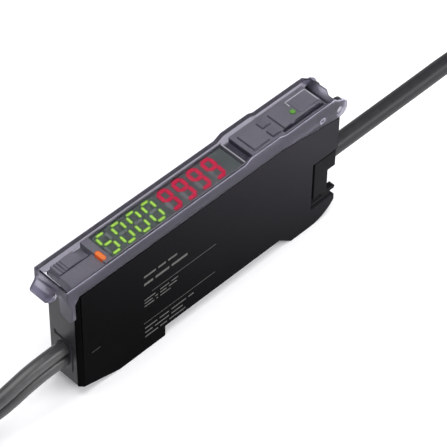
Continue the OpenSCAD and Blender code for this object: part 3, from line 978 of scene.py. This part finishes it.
@dataclass
class Hank:
    """Cord folded to and fro in layers, held by a tie.

    Args:
        start_x: fold centre where the cord comes in.
        run: length of a straight run.
        radius: radius of a fold, to the middle of the cord.
        start_z: height of the first layer.
        pitch: height of one turn.
        heading: 1 where the first run goes along +X, on the label side, or -1 for the reverse.
        pinch: how far the tie draws the runs in.
        waist: length that is drawn in, as a share of a run.
    """

    start_x: float
    run: float
    radius: float
    start_z: float
    pitch: float
    heading: int
    pinch: float = 0.85
    waist: float = 0.16

    fold_steps = 10
    run_steps = 12

    def loop(self) -> list[tuple[float, float]]:
        """Lays out one flat turn.

        Returns:
            Its points along and across the case, without the last.
        """
        points = []
        for side in (1, -1):
            for k in range(self.run_steps):
                share = k / self.run_steps
                along = share * self.run if side == 1 else (1 - share) * self.run
                off = (along - self.run / 2) / (self.waist * self.run)
                points.append((along, -side * (self.radius - self.pinch * math.exp(-(off**2)))))
            for k in range(self.fold_steps):
                angle = math.pi * (k / self.fold_steps - 0.5)
                x = side * self.radius * math.cos(angle)
                points.append((self.run + x if side == 1 else x, side * self.radius * math.sin(angle)))
        return [(self.start_x + self.heading * x, self.heading * y) for x, y in points]

    def turns(self, count: float) -> list[Spot]:
        """Returns the points of the given number of turns, rising a pitch each.

        Args:
            count: number of turns, in halves.

        Returns:
            Points in millimetres from the fibre face.
        """
        loop = self.loop()
        steps = range(round(count * len(loop)) + 1)
        return [(*loop[k % len(loop)], self.start_z + self.pitch * k / len(loop)) for k in steps]


def raised(coil: Sequence[Spot], height: float, count: int) -> list[Spot]:
    """Lifts the end of a coil, gently at first.

    Args:
        coil: points of the coil.
        height: height of its last point afterwards.
        count: how many of the last points move.

    Returns:
        The points with the end lifted.
    """
    lift = height - coil[-1][2]
    kept = list(coil[:-count])
    for k, (x, y, z) in enumerate(coil[-count:]):
        kept.append((x, y, z + lift * (k / (count - 1)) ** 2))
    return kept


@dataclass
class Cord:
    """Free cord along a route and a hank.

    Args:
        name: name of the piece.
        route: chosen points from the object to the hank.
        coil: points of the hank's turns.
        tail: chosen points from the hank to the far end.
        diameter: diameter of the cord.
        length: its real length in metres; not used.
        finish: surface of its sheath.
        slot: name of a material slot; not used.
        stands_for: CAD nodes that it is shown in place of.
        ends: CAD nodes and pieces at its far end; not used.
        far_end: what the far end is; not used.
    """

    name: str
    route: Sequence[Spot]
    coil: Sequence[Spot]
    tail: Sequence[Spot]
    diameter: float
    length: float
    finish: Finish
    slot: str
    stands_for: Sequence[str]
    ends: Sequence[str]
    far_end: str

    sides = 6
    step = 2.5

    def path(self) -> list[Vector]:
        """Draws one smooth line through the route, the turns and the tail.

        Returns:
            Points of the line in metres.
        """
        marks = [spot(*p) for p in (*self.route, *self.coil, *self.tail)]
        line = [marks[0]]
        for k in range(len(marks) - 1):
            before, start = marks[max(k - 1, 0)], marks[k]
            end, after = marks[k + 1], marks[min(k + 2, len(marks) - 1)]
            count = max(1, round((end - start).length / (self.step * MM)))
            square = 2 * before - 5 * start + 4 * end - after
            cube = 3 * start - before - 3 * end + after
            for i in range(1, count + 1):
                t = i / count
                line.append(0.5 * (2 * start + (end - before) * t + square * t**2 + cube * t**3))
        return line

    def build(self) -> None:
        line = self.path()
        curve = bpy.data.curves.new(self.name, "CURVE")
        curve.dimensions = "3D"
        curve.bevel_depth = self.diameter * MM / 2
        curve.bevel_resolution = self.sides
        curve.use_fill_caps = True
        spline = curve.splines.new("POLY")
        spline.points.add(len(line) - 1)
        for point, place in zip(spline.points, line):
            point.co = (*place, 1.0)
        spline.use_smooth = True
        piece = placed(self.name, curve)
        dress(piece, Body.CASE, self.finish, self.stands_for)
        measured = sum((b - a).length for a, b in zip(line, line[1:]))
        LOG.info("%s is %.3f m long", self.name, measured)


@dataclass
class Cords:
    """Power cable and the two fibres, with their hanks, ties, cores and sensing heads.

    Args:
        cable_d: diameter of the cable.
        fibre_d: diameter of a fibre.
        tie_t: thickness of a tie.
        cable_fold: radius of the cable's folds.
        inner_fold: radius of the upper fibre's folds.
        outer_fold: radius of the lower fibre's folds.
        core_z: height at which the cable ends.
        head_z: height at which the fibres end.
        ratchet: ratchet head of a tie, from the top of its band.
        ratchet_slot: slot through the ratchet head.
        cut_tail: cut tail of the tie in the slot.
        thread: pitch of the cuts round a sensing head.
        root: radius in a cut, as a share of the head's.
        nut_x: place of the nut from the head's middle, as a share of its length.
        nut_size: radius of the nut over its corners, as a share of the head's.
        nut_t: thickness of the nut.
        bare: length of a core's bare end.
        strands: thickness of the bare end, as a share of the core's.
    """

    cable_d: float = 4.4
    fibre_d: float = 3.4
    tie_t: float = 0.8
    cable_fold: float = 13.2
    inner_fold: float = 10.2
    outer_fold: float = 13.7
    core_z: float = 38.85
    head_z: float = 27.48
    ratchet: Box = ((-2.9, -3.0, -0.3), (2.9, 3.0, 2.4))
    ratchet_slot: Box = ((-1.9, -2.0, 0.4), (1.9, 4.0, 1.5))
    cut_tail: Box = ((-1.9, 0.5, 0.55), (1.9, 6.0, 1.35))
    thread: float = 0.5
    root: float = 0.88
    nut_x: float = 0.2
    nut_size: float = 1.55
    nut_t: float = 1.6
    bare: float = 5.0
    strands: float = 0.62

    def build(self) -> None:
        """Builds the cords and what is on them."""
        self.build_ties()
        self.build_heads()
        self.build_cores()
        self.build_cable()
        self.build_fibres()

    def build_ties(self) -> None:
        """Rounds the ties and gives each a ratchet head with a cut tail."""
        for node in ("cable_tie", "fibre_tie"):
            band = rounded_copy(node, f"{node}_band", radius=0.2)
            low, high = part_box(node)
            top = (((low.x + high.x) / 2 - FIBRE_FACE) / MM, 0.0, high.z / MM)
            head = block(self.ratchet, radius=0.5, shift=top)
            cut(head, block(self.ratchet_slot, shift=top))
            tail = block(self.cut_tail, radius=0.2, shift=top)
            dress(joined(f"{node}_dressed", [band, head, tail]), Body.CASE, TIE_NYLON, [node])

    def build_heads(self) -> None:
        """Models the threaded sensing heads, each with a hexagon nut."""
        for node in ("head_lower", "head_upper"):
            low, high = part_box(node)
            middle = (low + high) / 2
            length, radius = high.x - low.x, (high.z - low.z) / 2
            barrel = drum(middle, radius, length, sides=32)
            self.cut_thread(barrel, low.x, length)
            nut_place = Vector((middle.x + self.nut_x * length, middle.y, middle.z))
            nut = drum(nut_place, radius * self.nut_size, self.nut_t * MM, sides=6)
            soften(nut, radius=0.2)
            dress(joined(f"{node}_threaded", [barrel, nut]), Body.CASE, NICKEL, [node])

    def cut_thread(self, barrel: Piece, start: float, length: float) -> None:
        """Cuts thread-like grooves round a barrel along X.

        Args:
            barrel: cylinder along X.
            start: lowest X of the barrel, in metres.
            length: length of the barrel, in metres.
        """
        pitch = self.thread * MM
        rings = [start + k * pitch for k in range(1, round(length / pitch) - 1)]
        with editing(barrel):
            score(rings)
            choose(barrel, Pick.VERT, lambda v: any(abs(v.co.x - ring) < LEVEL for ring in rings[::2]))
            bpy.ops.transform.resize(value=(1, self.root, self.root))

    def build_cores(self) -> None:
        """Finishes the three cores and adds their bare, tinned ends."""
        for colour, finish in CORES.items():
            node = f"core_{colour}"
            dress_nodes(finish, node)
            low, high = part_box(node)
            radius = self.strands * (high.z - low.z) / 2
            place = Vector((low.x - self.bare * MM / 2, (low.y + high.y) / 2, (low.z + high.z) / 2))
            end = drum(place, radius, self.bare * MM, sides=12)
            with editing(end):
                choose(end, Pick.FACE, lambda f: len(f.verts) > 4)
                bpy.ops.mesh.inset(thickness=0.3 * radius, depth=0.25 * radius)
            dress(settle(end, f"core_end_{colour}"), Body.CASE, COPPER)

    def build_cable(self) -> None:
        """Builds the power cable from the bush to its three cores."""
        route = [
            (75.5, 0, 14), (84, 0, 14), (93, 0, 14), (102, 0, 14), (111, 0, 14), (121, 0, 14),
            (125, -0.22, 13.81), (129, -0.91, 13.24), (133, -2.11, 12.24), (137, -3.93, 10.72),
            (141, -6.6, 8.5), (145, -9.27, 6.28), (149, -11.09, 4.76), (153, -12.29, 3.76),
            (157, -12.98, 3.19),
        ]
        hank = Hank(161, 88, self.cable_fold, self.tie_t + self.cable_d / 2, self.cable_d, 1)
        cores = [f"core_{colour}" for colour in CORES] + [f"core_end_{colour}" for colour in CORES]
        Cord(
            name="power_cable_dressed",
            route=route,
            coil=raised(hank.turns(7.5), self.core_z, hank.fold_steps + 1),
            tail=[],
            diameter=self.cable_d,
            length=2.03,
            finish=CABLE_PVC,
            slot="cable_sheath",
            stands_for=["power_cable", "cable_hank"],
            ends=[*cores, "cable_tie_dressed"],
            far_end="bare",
        ).build()

    def build_fibres(self) -> None:
        """Builds the lower and the upper fibre from their ports to their sensing heads."""
        first = self.tie_t + self.fibre_d / 2
        lower_route = [
            (1.2, 0, 9.35), (-3, 0, 9.35), (-6.9, 0, 9.25), (-10.7, 0, 8.81), (-14.6, 0, 8.01),
            (-18.4, 0.49, 6.83), (-21.7, 1.84, 5.49), (-25.1, 4.23, 4.12), (-28.4, 7.85, 3.27),
            (-32.1, 10.95, 2.83), (-35.4, 12.56, 2.65), (-38.7, 13.43, 2.56),
        ]
        upper_route = [
            (1.2, 0, 12.8), (-3, 0, 12.8), (-7.1, 0, 12.7), (-11.3, 0, 12.23), (-15.4, 0, 11.36),
            (-19.6, 0.4, 10.09), (-23.3, 1.38, 8.55), (-26.9, 3.15, 6.87), (-30.6, 6.13, 5.34),
            (-33.9, 8.2, 4.02), (-36.6, 9.31, 3.17), (-39.3, 9.98, 2.65),
        ]
        outer = Hank(-42, 42, self.outer_fold, first, self.fibre_d, -1)
        inner = Hank(-42, 42, self.inner_fold, first, self.fibre_d, -1)
        lower_coil = outer.turns(6.5)
        upper_coil = raised(inner.turns(7), self.head_z, inner.fold_steps + 1)
        rise = ((-80, 25.1), (-75.5, 26.1), (-71, 27.1), (-67, 27.43), (-62.5, self.head_z))
        lower_tail = [(x, -self.outer_fold, z) for x, z in rise]
        upper_tail = [(x, self.inner_fold, self.head_z) for x in (-44, -46.5)]
        for name, route, coil, tail, length, others, tie in (
            ("lower", lower_route, lower_coil, lower_tail, 1.18, ["fibre_hank"], ["fibre_tie_dressed"]),
            ("upper", upper_route, upper_coil, upper_tail, 1.09, [], []),
        ):
            Cord(
                name=f"fibre_{name}_dressed",
                route=route,
                coil=coil,
                tail=tail,
                diameter=self.fibre_d,
                length=length,
                finish=FIBRE_PE,
                slot="fibre_sheath",
                stands_for=[f"fibre_{name}", *others],
                ends=[f"head_{name}_threaded", *tie],
                far_end="fitting",
            ).build()


@dataclass
class Case:
    """Two halves of the case with the label side's print and the fibre entry.

    Args:
        plate: plate round the fibre ports.
        ports: heights of the fibre ports.
        port_r: radius of their holes.
        joints: dark strips of painted shadow beside the plate.
        ink: thickness of the print.
        ink_round: radius of its edges.
        rules: the printed rules, as bar() takes them.
        rows: height, thickness and bar lengths of the printed rows; a length of 0 is a gap.
        row_x: start of the rows.
        space: distance between the bars of a row.
        latch: the latch edge near the fibre face, as bar() takes it.
    """

    plate: Box = ((-0.2, -2.5, 6.6), (0.02, 2.6, 15.6))
    ports: tuple[float, float] = (9.35, 12.8)
    port_r: float = 1.8
    joints: Sequence[Box] = (
        ((-0.06, -2.8, 7.4), (0.02, -2.45, 14.4)),
        ((-0.06, -2.8, 14.0), (0.02, -2.0, 15.0)),
        ((-0.06, 2.2, 15.5), (0.02, 2.9, 16.5)),
    )
    ink: float = 0.03
    ink_round: float = 0.005
    rules: Sequence[Bar] = ((20.8, 18.0, 19.0, 0.12), (18.3, 9.1, 21.3, 0.12))
    rows: Sequence[tuple[float, float, Sequence[float]]] = (
        (24.0, 0.55, (3.4, 2.2, 2.6)),
        (21.6, 0.7, (2.6, 4.0, 4.6)),
        (16.6, 0.3, (3.2, 0.0, 2.6, 2.0)),
        (15.6, 0.3, (2.4, 0.8, 1.8, 2.4)),
        (14.6, 0.3, (2.8, 0.4, 3.0)),
        (7.4, 0.35, (3.6, 2.8, 4.4, 1.6)),
        (6.0, 0.35, (2.2, 4.2, 3.4)),
        (4.6, 0.35, (3.8, 2.0, 4.8)),
    )
    row_x: float = 18.6
    space: float = 0.7
    latch: Bar = (3.4, 12.35, 2.4, 0.16)

    def build(self) -> None:
        """Builds the case and what is on it."""
        recast("main_case", "case_charcoal", 0.14, CHARCOAL_ABS)
        recast("side_cover", "case_black_side", 0.2, BLACK_ABS)
        recast("hinge_block", "hinge_knuckle", 0.1, CHARCOAL_ABS)
        recast("cable_bush", "cable_bush_dressed", 0.3, BUSH_TPE)
        self.build_entry()
        self.build_print()
        trim("latch_edge", CHARCOAL_ABS, [self.bar(*self.latch)], self.ink_round)

    def build_entry(self) -> None:
        """Models the plate round the two fibre ports, with a round hole for each, and dark strips of
        painted shadow beside it.
        """
        plate = block(self.plate, radius=0.1)
        for height in self.ports:
            cut(plate, drum(spot(0, 0, height), self.port_r * MM, length=3 * MM, sides=48))
        dress(settle(plate, "fibre_entry_plate"), Body.CASE, CHARCOAL_ABS)
        trim("fibre_entry_joints", SHADE_PCABS, self.joints, radius=0.02)

    def bar(self, x: float, z: float, length: float, height: float) -> Box:
        """Returns the corners of a thin bar on the label side, by its start and its middle height."""
        return (x, SIDE_Y - self.ink, z - height / 2), (x + length, SIDE_Y + SUNK, z + height / 2)

    def build_print(self) -> None:
        """Prints two plain rules and rows of plain bars on the label side."""
        bars = [self.bar(*rule) for rule in self.rules]
        for z, height, lengths in self.rows:
            x = self.row_x
            for length in lengths:
                if length:
                    bars.append(self.bar(x, z, length, height))
                x += length + self.space
        trim("label_print", LIGHT_INK, bars, self.ink_round)


@dataclass(frozen=True)
class Group:
    """Digits of one colour.

    Args:
        colour: word in the names of its CAD node, its piece and its slot.
        finish: surface of its lit segments.
        start: middle of the first digit along the case.
        digits: what the digits show.
        thick: width of a segment.
        along: what is added to a level segment's length.
        across: what is added to an upright segment's length.
    """

    colour: str
    finish: Finish
    start: float
    digits: Sequence[Lit]
    thick: float
    along: float
    across: float


@dataclass
class Display:
    """Window, module, digits and lamps.

    Args:
        pitch: distance from digit to digit.
        width: width of a digit.
        height: height of a digit across the case.
        lean: how far a digit leans, as a share of its height.
        face: height of the display's face.
        flat: half of a hexagon's width over its flats, as a share of its radius.
        taper: how far a segment's shoulders move out towards its points.
        tall: height of a segment's rim.
        core: height of its bright core over the rim.
        rim: width of the rim, as a share of the segment's.
        groups: digits by colour.
    """

    pitch: float = 4.25
    width: float = 3.3
    height: float = 6.5
    lean: float = 0.08
    face: float = 34.41
    flat: float = 0.866
    taper: float = 1.45
    tall: float = 0.08
    core: float = 0.04
    rim: float = 0.3
    groups: Sequence[Group] = (
        Group("green", GREEN_SEGMENT, 13.4, (Lit.FIVE, Lit.ZERO, Lit.ZERO, Lit.ZERO), 0.8, -0.3, -0.6),
        Group("red", RED_SEGMENT, 30.9, (Lit.NINE, Lit.NINE, Lit.NINE, Lit.NINE), 1.0, 0.2, 0.1),
    )

    def build(self) -> None:
        """Builds the display."""
        recast("display_window", "display_filter", 0.06, FILTER_ACRYLIC)
        dress_nodes(DISPLAY_EPOXY, "display_module")
        unlit = []
        for group in self.groups:
            unlit += self.build_group(group)
        dress(joined("unlit_segments", unlit), Body.CASE, UNLIT_EPOXY)
        self.build_lamp("output_indicator", "output_lamp", ORANGE_LAMP, rim=0.3)
        self.build_lamp("status_lens", "status_lamp", GREEN_LENS, rim=0.2)

    def build_group(self, group: Group) -> list[Piece]:
        """Models the digits of one colour.

        Args:
            group: the digits.

        Returns:
            Their segments that are off, still to be joined.
        """
        level = self.model_segment(group.thick, self.width - group.thick + group.along)
        upright = self.model_segment(group.thick, (self.height - group.thick) / 2 + group.across)
        lit, unlit = [], []
        for k, digit in enumerate(group.digits):
            for part, (side, rise) in enumerate(SEGMENTS):
                shape = upright if side else level
                copy = self.place_segment(shape, group.start + k * self.pitch, side, rise, group.thick)
                (lit if part in digit.value else unlit).append(copy)
        bpy.data.objects.remove(level)
        bpy.data.objects.remove(upright)
        piece = joined(f"{group.colour}_segments", lit)
        dress(piece, Body.CASE, group.finish, [f"{group.colour}_digits"])
        return unlit

    def build_lamp(self, node: str, name: str, finish: Finish, rim: float) -> None:
        """Models a lamp with a bright core from its CAD node.

        Args:
            node: name of the CAD node.
            name: name of the piece.
            finish: surface of the lamp.
            rim: width of its darker rim in millimetres.
        """
        lamp = rounded_copy(node, name, radius=0.05)
        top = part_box(node)[1].z - 10 * LEVEL
        with editing(lamp):
            choose(lamp, Pick.FACE, lambda f: f.normal.z > UPWARD and f.calc_center_median().z > top)
            bpy.ops.mesh.inset(thickness=rim * MM, depth=0.02 * MM)
        self.mark_core(settle(lamp, name))
        dress(lamp, Body.CASE, finish, [node])

    def mark_core(self, piece: Piece) -> None:
        """Marks the highest points of a light guide as its bright core.

        Args:
            piece: light guide that faces up.
        """
        top = max(v.co.z for v in piece.data.vertices)
        core = piece.data.attributes.new("core", "FLOAT", "POINT")
        for k, vertex in enumerate(piece.data.vertices):
            core.data[k].value = 1.0 if vertex.co.z > top - LEVEL else 0.0

    def model_segment(self, thick: float, length: float) -> Piece:
        """Models one segment: a slim hexagon with a raised bright core.

        Args:
            thick: width of the segment.
            length: length of the segment.

        Returns:
            The segment along Y, at the row frame's origin, to be copied.
        """
        bpy.ops.object.select_all(action="DESELECT")
        bpy.ops.mesh.primitive_circle_add(vertices=6, radius=1.0, fill_type="NGON")
        shape = bpy.context.object
        shape.scale = (thick / 2 / self.flat * MM, length / 2 * MM, 1)
        bpy.ops.object.transform_apply(location=True, rotation=True, scale=True)
        with editing(shape):
            choose(shape, Pick.VERT, lambda v: abs(v.co.x) > LEVEL)
            bpy.ops.transform.resize(value=(1, self.taper, 1))
            bpy.ops.mesh.select_mode(type="FACE")
            bpy.ops.mesh.select_all(action="SELECT")
            bpy.ops.mesh.extrude_region_move(TRANSFORM_OT_translate={"value": (0, 0, self.tall * MM)})
            bpy.ops.mesh.inset(thickness=self.rim * thick * MM, depth=self.core * MM)
            bpy.ops.mesh.select_all(action="SELECT")
            bpy.ops.mesh.normals_make_consistent(inside=False)
        self.mark_core(shape)
        return shape

    def place_segment(self, shape: Piece, x: float, side: float, rise: float, thick: float) -> Piece:
        """Copies a segment to its place in a leaning digit.

        Args:
            shape: the modelled segment.
            x: middle of the digit along the case.
            side: place of the segment, as a share of half the digit's width; 0 for a level one.
            rise: place of the segment, as a share of half the digit's height.
            thick: width of the segment.

        Returns:
            The copy.
        """
        place = Vector((side * (self.width - thick) / 2, rise * (self.height - thick) / 2, 0.0))
        turn = Matrix.Rotation(0.0 if side else math.pi / 2, 4, "Z")
        leaning = Matrix.Identity(4)
        leaning[0][1] = self.lean
        inside = leaning @ Matrix.Translation(place * MM) @ turn
        copy = placed("segment", shape.data.copy())
        copy.data.transform(Matrix.Translation(spot(x, 0.0, self.face)) @ inside)
        return copy


@dataclass
class Panel:
    """Panel under the cover with its lock, keys and printed frame.

    Args:
        liners: name, finish, edge radius and boxes of the painted shade and painted highlight in and along
            the grooves.
        band_y: nearest and furthest distance from the middle of the bands of painted shade along the sides.
        band_z: height at which the bands start.
        stretches: start, end and top of the bands behind the lock.
        lock_x: start and end of the bands beside the lock.
        lock_tops: side of a band, and its top beside the lock.
        frame_low: front corner of the printed frame, along and across the case.
        frame_high: rear corner of the printed frame.
        frame_z: height of the ground that the frame is printed on.
        frame_line: width of its line.
        frame_return: length of its short side.
        ink: thickness of the print.
    """

    liners: Sequence[tuple[str, Finish, float, Sequence[Box]]] = (
        # Painted shade: a darker lining on the groove's floor and riser
        (
            "groove_liner",
            GROOVE_SHADE_PCABS,
            0.02,
            (((49.82, -3.6, 33.58), (52.22, 3.6, 33.66)), ((52.12, -3.6, 33.62), (52.22, 3.6, 34.85))),
        ),
        # Painted highlight: a white line along the groove's near edge
        ("groove_line", WHITE_INK_AND_HIGHLIGHT, 0.005, (((49.42, -3.6, 34.98), (49.68, 3.6, 35.015)),)),
        # Painted shade: dark flat strips where the deck slot and the lock gap lie in shadow
        ("deck_slot_liner", SHADE_PCABS, 0.01, (((61.8, -3.5, 34.97), (74.2, -2.8, 35.03)),)),
        ("lock_gap_liner", SHADE_PCABS, 0.02, (((0.6, 0.4, 34.1), (9.0, 0.62, 34.22)),)),
    )
    band_y: tuple[float, float] = (3.98, 4.06)
    band_z: float = 32.25
    stretches: Sequence[Spot] = ((9.3, 49.6, 34.85), (49.6, 52.3, 33.5), (52.3, 74.5, 34.85))
    lock_x: tuple[float, float] = (0.5, 9.3)
    lock_tops: Sequence[tuple[int, float]] = ((-1, 34.1), (1, 32.9))
    frame_low: tuple[float, float] = (68.0, -1.6)
    frame_high: tuple[float, float] = (74.4, 2.85)
    frame_z: float = 35.15
    frame_line: float = 0.28
    frame_return: float = 1.6
    ink: float = 0.02

    def build(self) -> None:
        """Builds the panel."""
        recast("top_panel", "panel_moulding", 0.1, PANEL_PCABS)
        recast("legend_plate", "legend_dressed", 0.05, PANEL_PCABS)
        recast("fibre_lock", "lock_slider", 0.1, PANEL_PCABS, Body.LOCK)
        recast("tune_button", "tune_button_cap", 0.12, KEY_PCABS, Body.TUNE)
        for body in (Body.UP, Body.DOWN, Body.MODE):
            node = f"{body.value}_key"
            recast(node, f"{node}_cap", 0.12, KEY_PCABS, body)
        for name, finish, radius, boxes in self.liners:
            trim(name, finish, boxes, radius)
        self.build_bands()
        self.build_frame()

    def build_bands(self) -> None:
        """Models a band of painted shade along both sides of the panel, behind the cover's skirts."""
        bands = []
        for side, lock_top in self.lock_tops:
            low, high = sorted(side * y for y in self.band_y)
            for start, end, top in ((*self.lock_x, lock_top), *self.stretches):
                bands.append(((start, low, self.band_z), (end, high, top)))
        trim("panel_side_bands", SHADE_PCABS, bands, radius=0.01)

    def build_frame(self) -> None:
        """Prints the light frame round the mode field at the rear of the deck."""
        (x0, y0), (x1, y1) = self.frame_low, self.frame_high
        low, high, line = self.frame_z, self.frame_z + self.ink, self.frame_line
        bars = [
            ((x0, y1 - line, low), (x1, y1, high)),
            ((x1 - line, y0, low), (x1, y1, high)),
            ((x0, y1 - self.frame_return, low), (x0 + line, y1, high)),
        ]
        trim("mode_frame_print", WHITE_INK_AND_HIGHLIGHT, bars)


@dataclass
class Cover:
    """Hinged clear cover with its moulded mark.

    Args:
        tab_root: where the lifting tab starts in front of the fibre face.
        hinge_root: where the hinge end starts.
        plate_half: half of the width that is polished.
        skirt_frost: frost on the skirts, as a share of a fully rough mould.
        tab_frost: frost on the lifting tab.
        hinge_frost: frost on the hinge end.
        front_slope: X of a normal up to which a face belongs to the front.
        edge_skin: thickness of the skin of painted highlight on the long edges.
        edge_slope: lowest and highest Z of the normals of the faces under the painted highlight.
        mark_low: lower corner of the raised mark, along the case and in height.
        mark_high: upper corner of the raised mark.
        mark_line: width of its line.
        mark_proud: how far it stands out.
    """

    tab_root: float = -2.56
    hinge_root: float = 74.9
    plate_half: float = 4.6
    skirt_frost: float = 0.65
    tab_frost: float = 0.85
    hinge_frost: float = 0.6
    front_slope: float = -0.5
    edge_skin: float = 0.03
    edge_slope: tuple[float, float] = (0.3, 0.96)
    mark_low: tuple[float, float] = (71.4, 32.0)
    mark_high: tuple[float, float] = (72.9, 33.3)
    mark_line: float = 0.2
    mark_proud: float = 0.06

    def build(self) -> None:
        """Builds the cover."""
        lid = rounded_copy("protective_cover", "clear_cover", radius=0.16, segments=3)
        self.frost(lid)
        self.build_edge_highlight(lid)
        dress(lid, Body.COVER, SMOKE_POLYCARBONATE, ["protective_cover"])
        self.build_mark()

    def frost(self, lid: Piece) -> None:
        """Marks the skirts, the front, the tab and the hinge end as frosted by a rough mould.

        Args:
            lid: the rounded cover.
        """
        front, rear = spot(self.tab_root, 0, 0).x, spot(self.hinge_root, 0, 0).x
        with editing(lid):
            score((front, rear))
        marks = lid.data.attributes.new("frost", "FLOAT", "FACE")
        for face in lid.data.polygons:
            inner = abs(face.center.y) < self.plate_half * MM and face.normal.x > self.front_slope
            lengthwise = front <= face.center.x <= rear
            skirt = 0.0 if inner else self.skirt_frost
            end = self.hinge_frost if face.center.x > rear else self.tab_frost
            marks.data[face.index].value = skirt if lengthwise else end
        settle(lid, lid.name)

    def build_edge_highlight(self, lid: Piece) -> None:
        """Models a pale opaque skin on the long upper edges: a painted highlight along them.

        Args:
            lid: the rounded cover.
        """
        skin = placed("cover_edge_scuff", lid.data.copy())
        side, (low, high) = self.plate_half * MM, self.edge_slope
        with editing(skin):
            choose(
                skin,
                Pick.FACE,
                lambda f: abs(f.calc_center_median().y) < side or not low < f.normal.z < high,
            )
            bpy.ops.mesh.delete(type="FACE")
        modify(skin, "SOLIDIFY", thickness=self.edge_skin * MM, offset=1.0)
        dress(settle(skin, skin.name), Body.COVER, PALE_HIGHLIGHT_POLYCARBONATE)

    def build_mark(self) -> None:
        """Models the small raised square on the skirt by the hinge."""
        (x0, z0), (x1, z1), line = self.mark_low, self.mark_high, self.mark_line
        bars = (
            (x0, z0, x1, z0 + line),
            (x0, z1 - line, x1, z1),
            (x0, z0, x0 + line, z1),
            (x1 - line, z0, x1, z1),
        )
        outer, inner = SIDE_Y - self.mark_proud, SIDE_Y + SUNK
        boxes = [((start, outer, low), (end, inner, high)) for start, low, end, high in bars]
        trim("cover_mark", PALE_HIGHLIGHT_POLYCARBONATE, boxes, body=Body.COVER)


@dataclass
class Inside:
    """Pieces inside the case and the hinge pin, shown as drawn."""

    def build(self) -> None:
        """Gives each inner piece its finish."""
        dress_nodes(PANEL_PCABS, "hinge_pin")
        dress_nodes(STEEL, "tune_switch", "up_switch", "down_switch", "mode_switch")
        dress_nodes(EPOXY_BLACK, "optical_block", "terminal_block", "processor_chip", "power_chip")
        dress_nodes(EPOXY_BLACK, "photodiode")
        dress_nodes(CLEAR_EPOXY, "emitter")
        dress_nodes(BOARD_FR4, "main_board", "display_board")
        dress_nodes(IVORY_NYLON, "board_link")
        dress_nodes(BLUE_SLEEVE, "capacitor")
        dress_nodes(BUSH_TPE, "fibre_clamp")
        dress_nodes(CABLE_PVC, "cable_stub")
        dress_nodes(FIBRE_PE, "fibre_stub_lower", "fibre_stub_upper")


def main() -> None:
    """Builds the scene."""
    logging.basicConfig(level=logging.INFO, format="%(name)s: %(message)s")
    for part in (Studio(), Cords(), Case(), Panel(), Display(), Cover(), Inside()):
        part.build()
    bpy.context.view_layer.update()


if __name__ == "__main__":
    main()
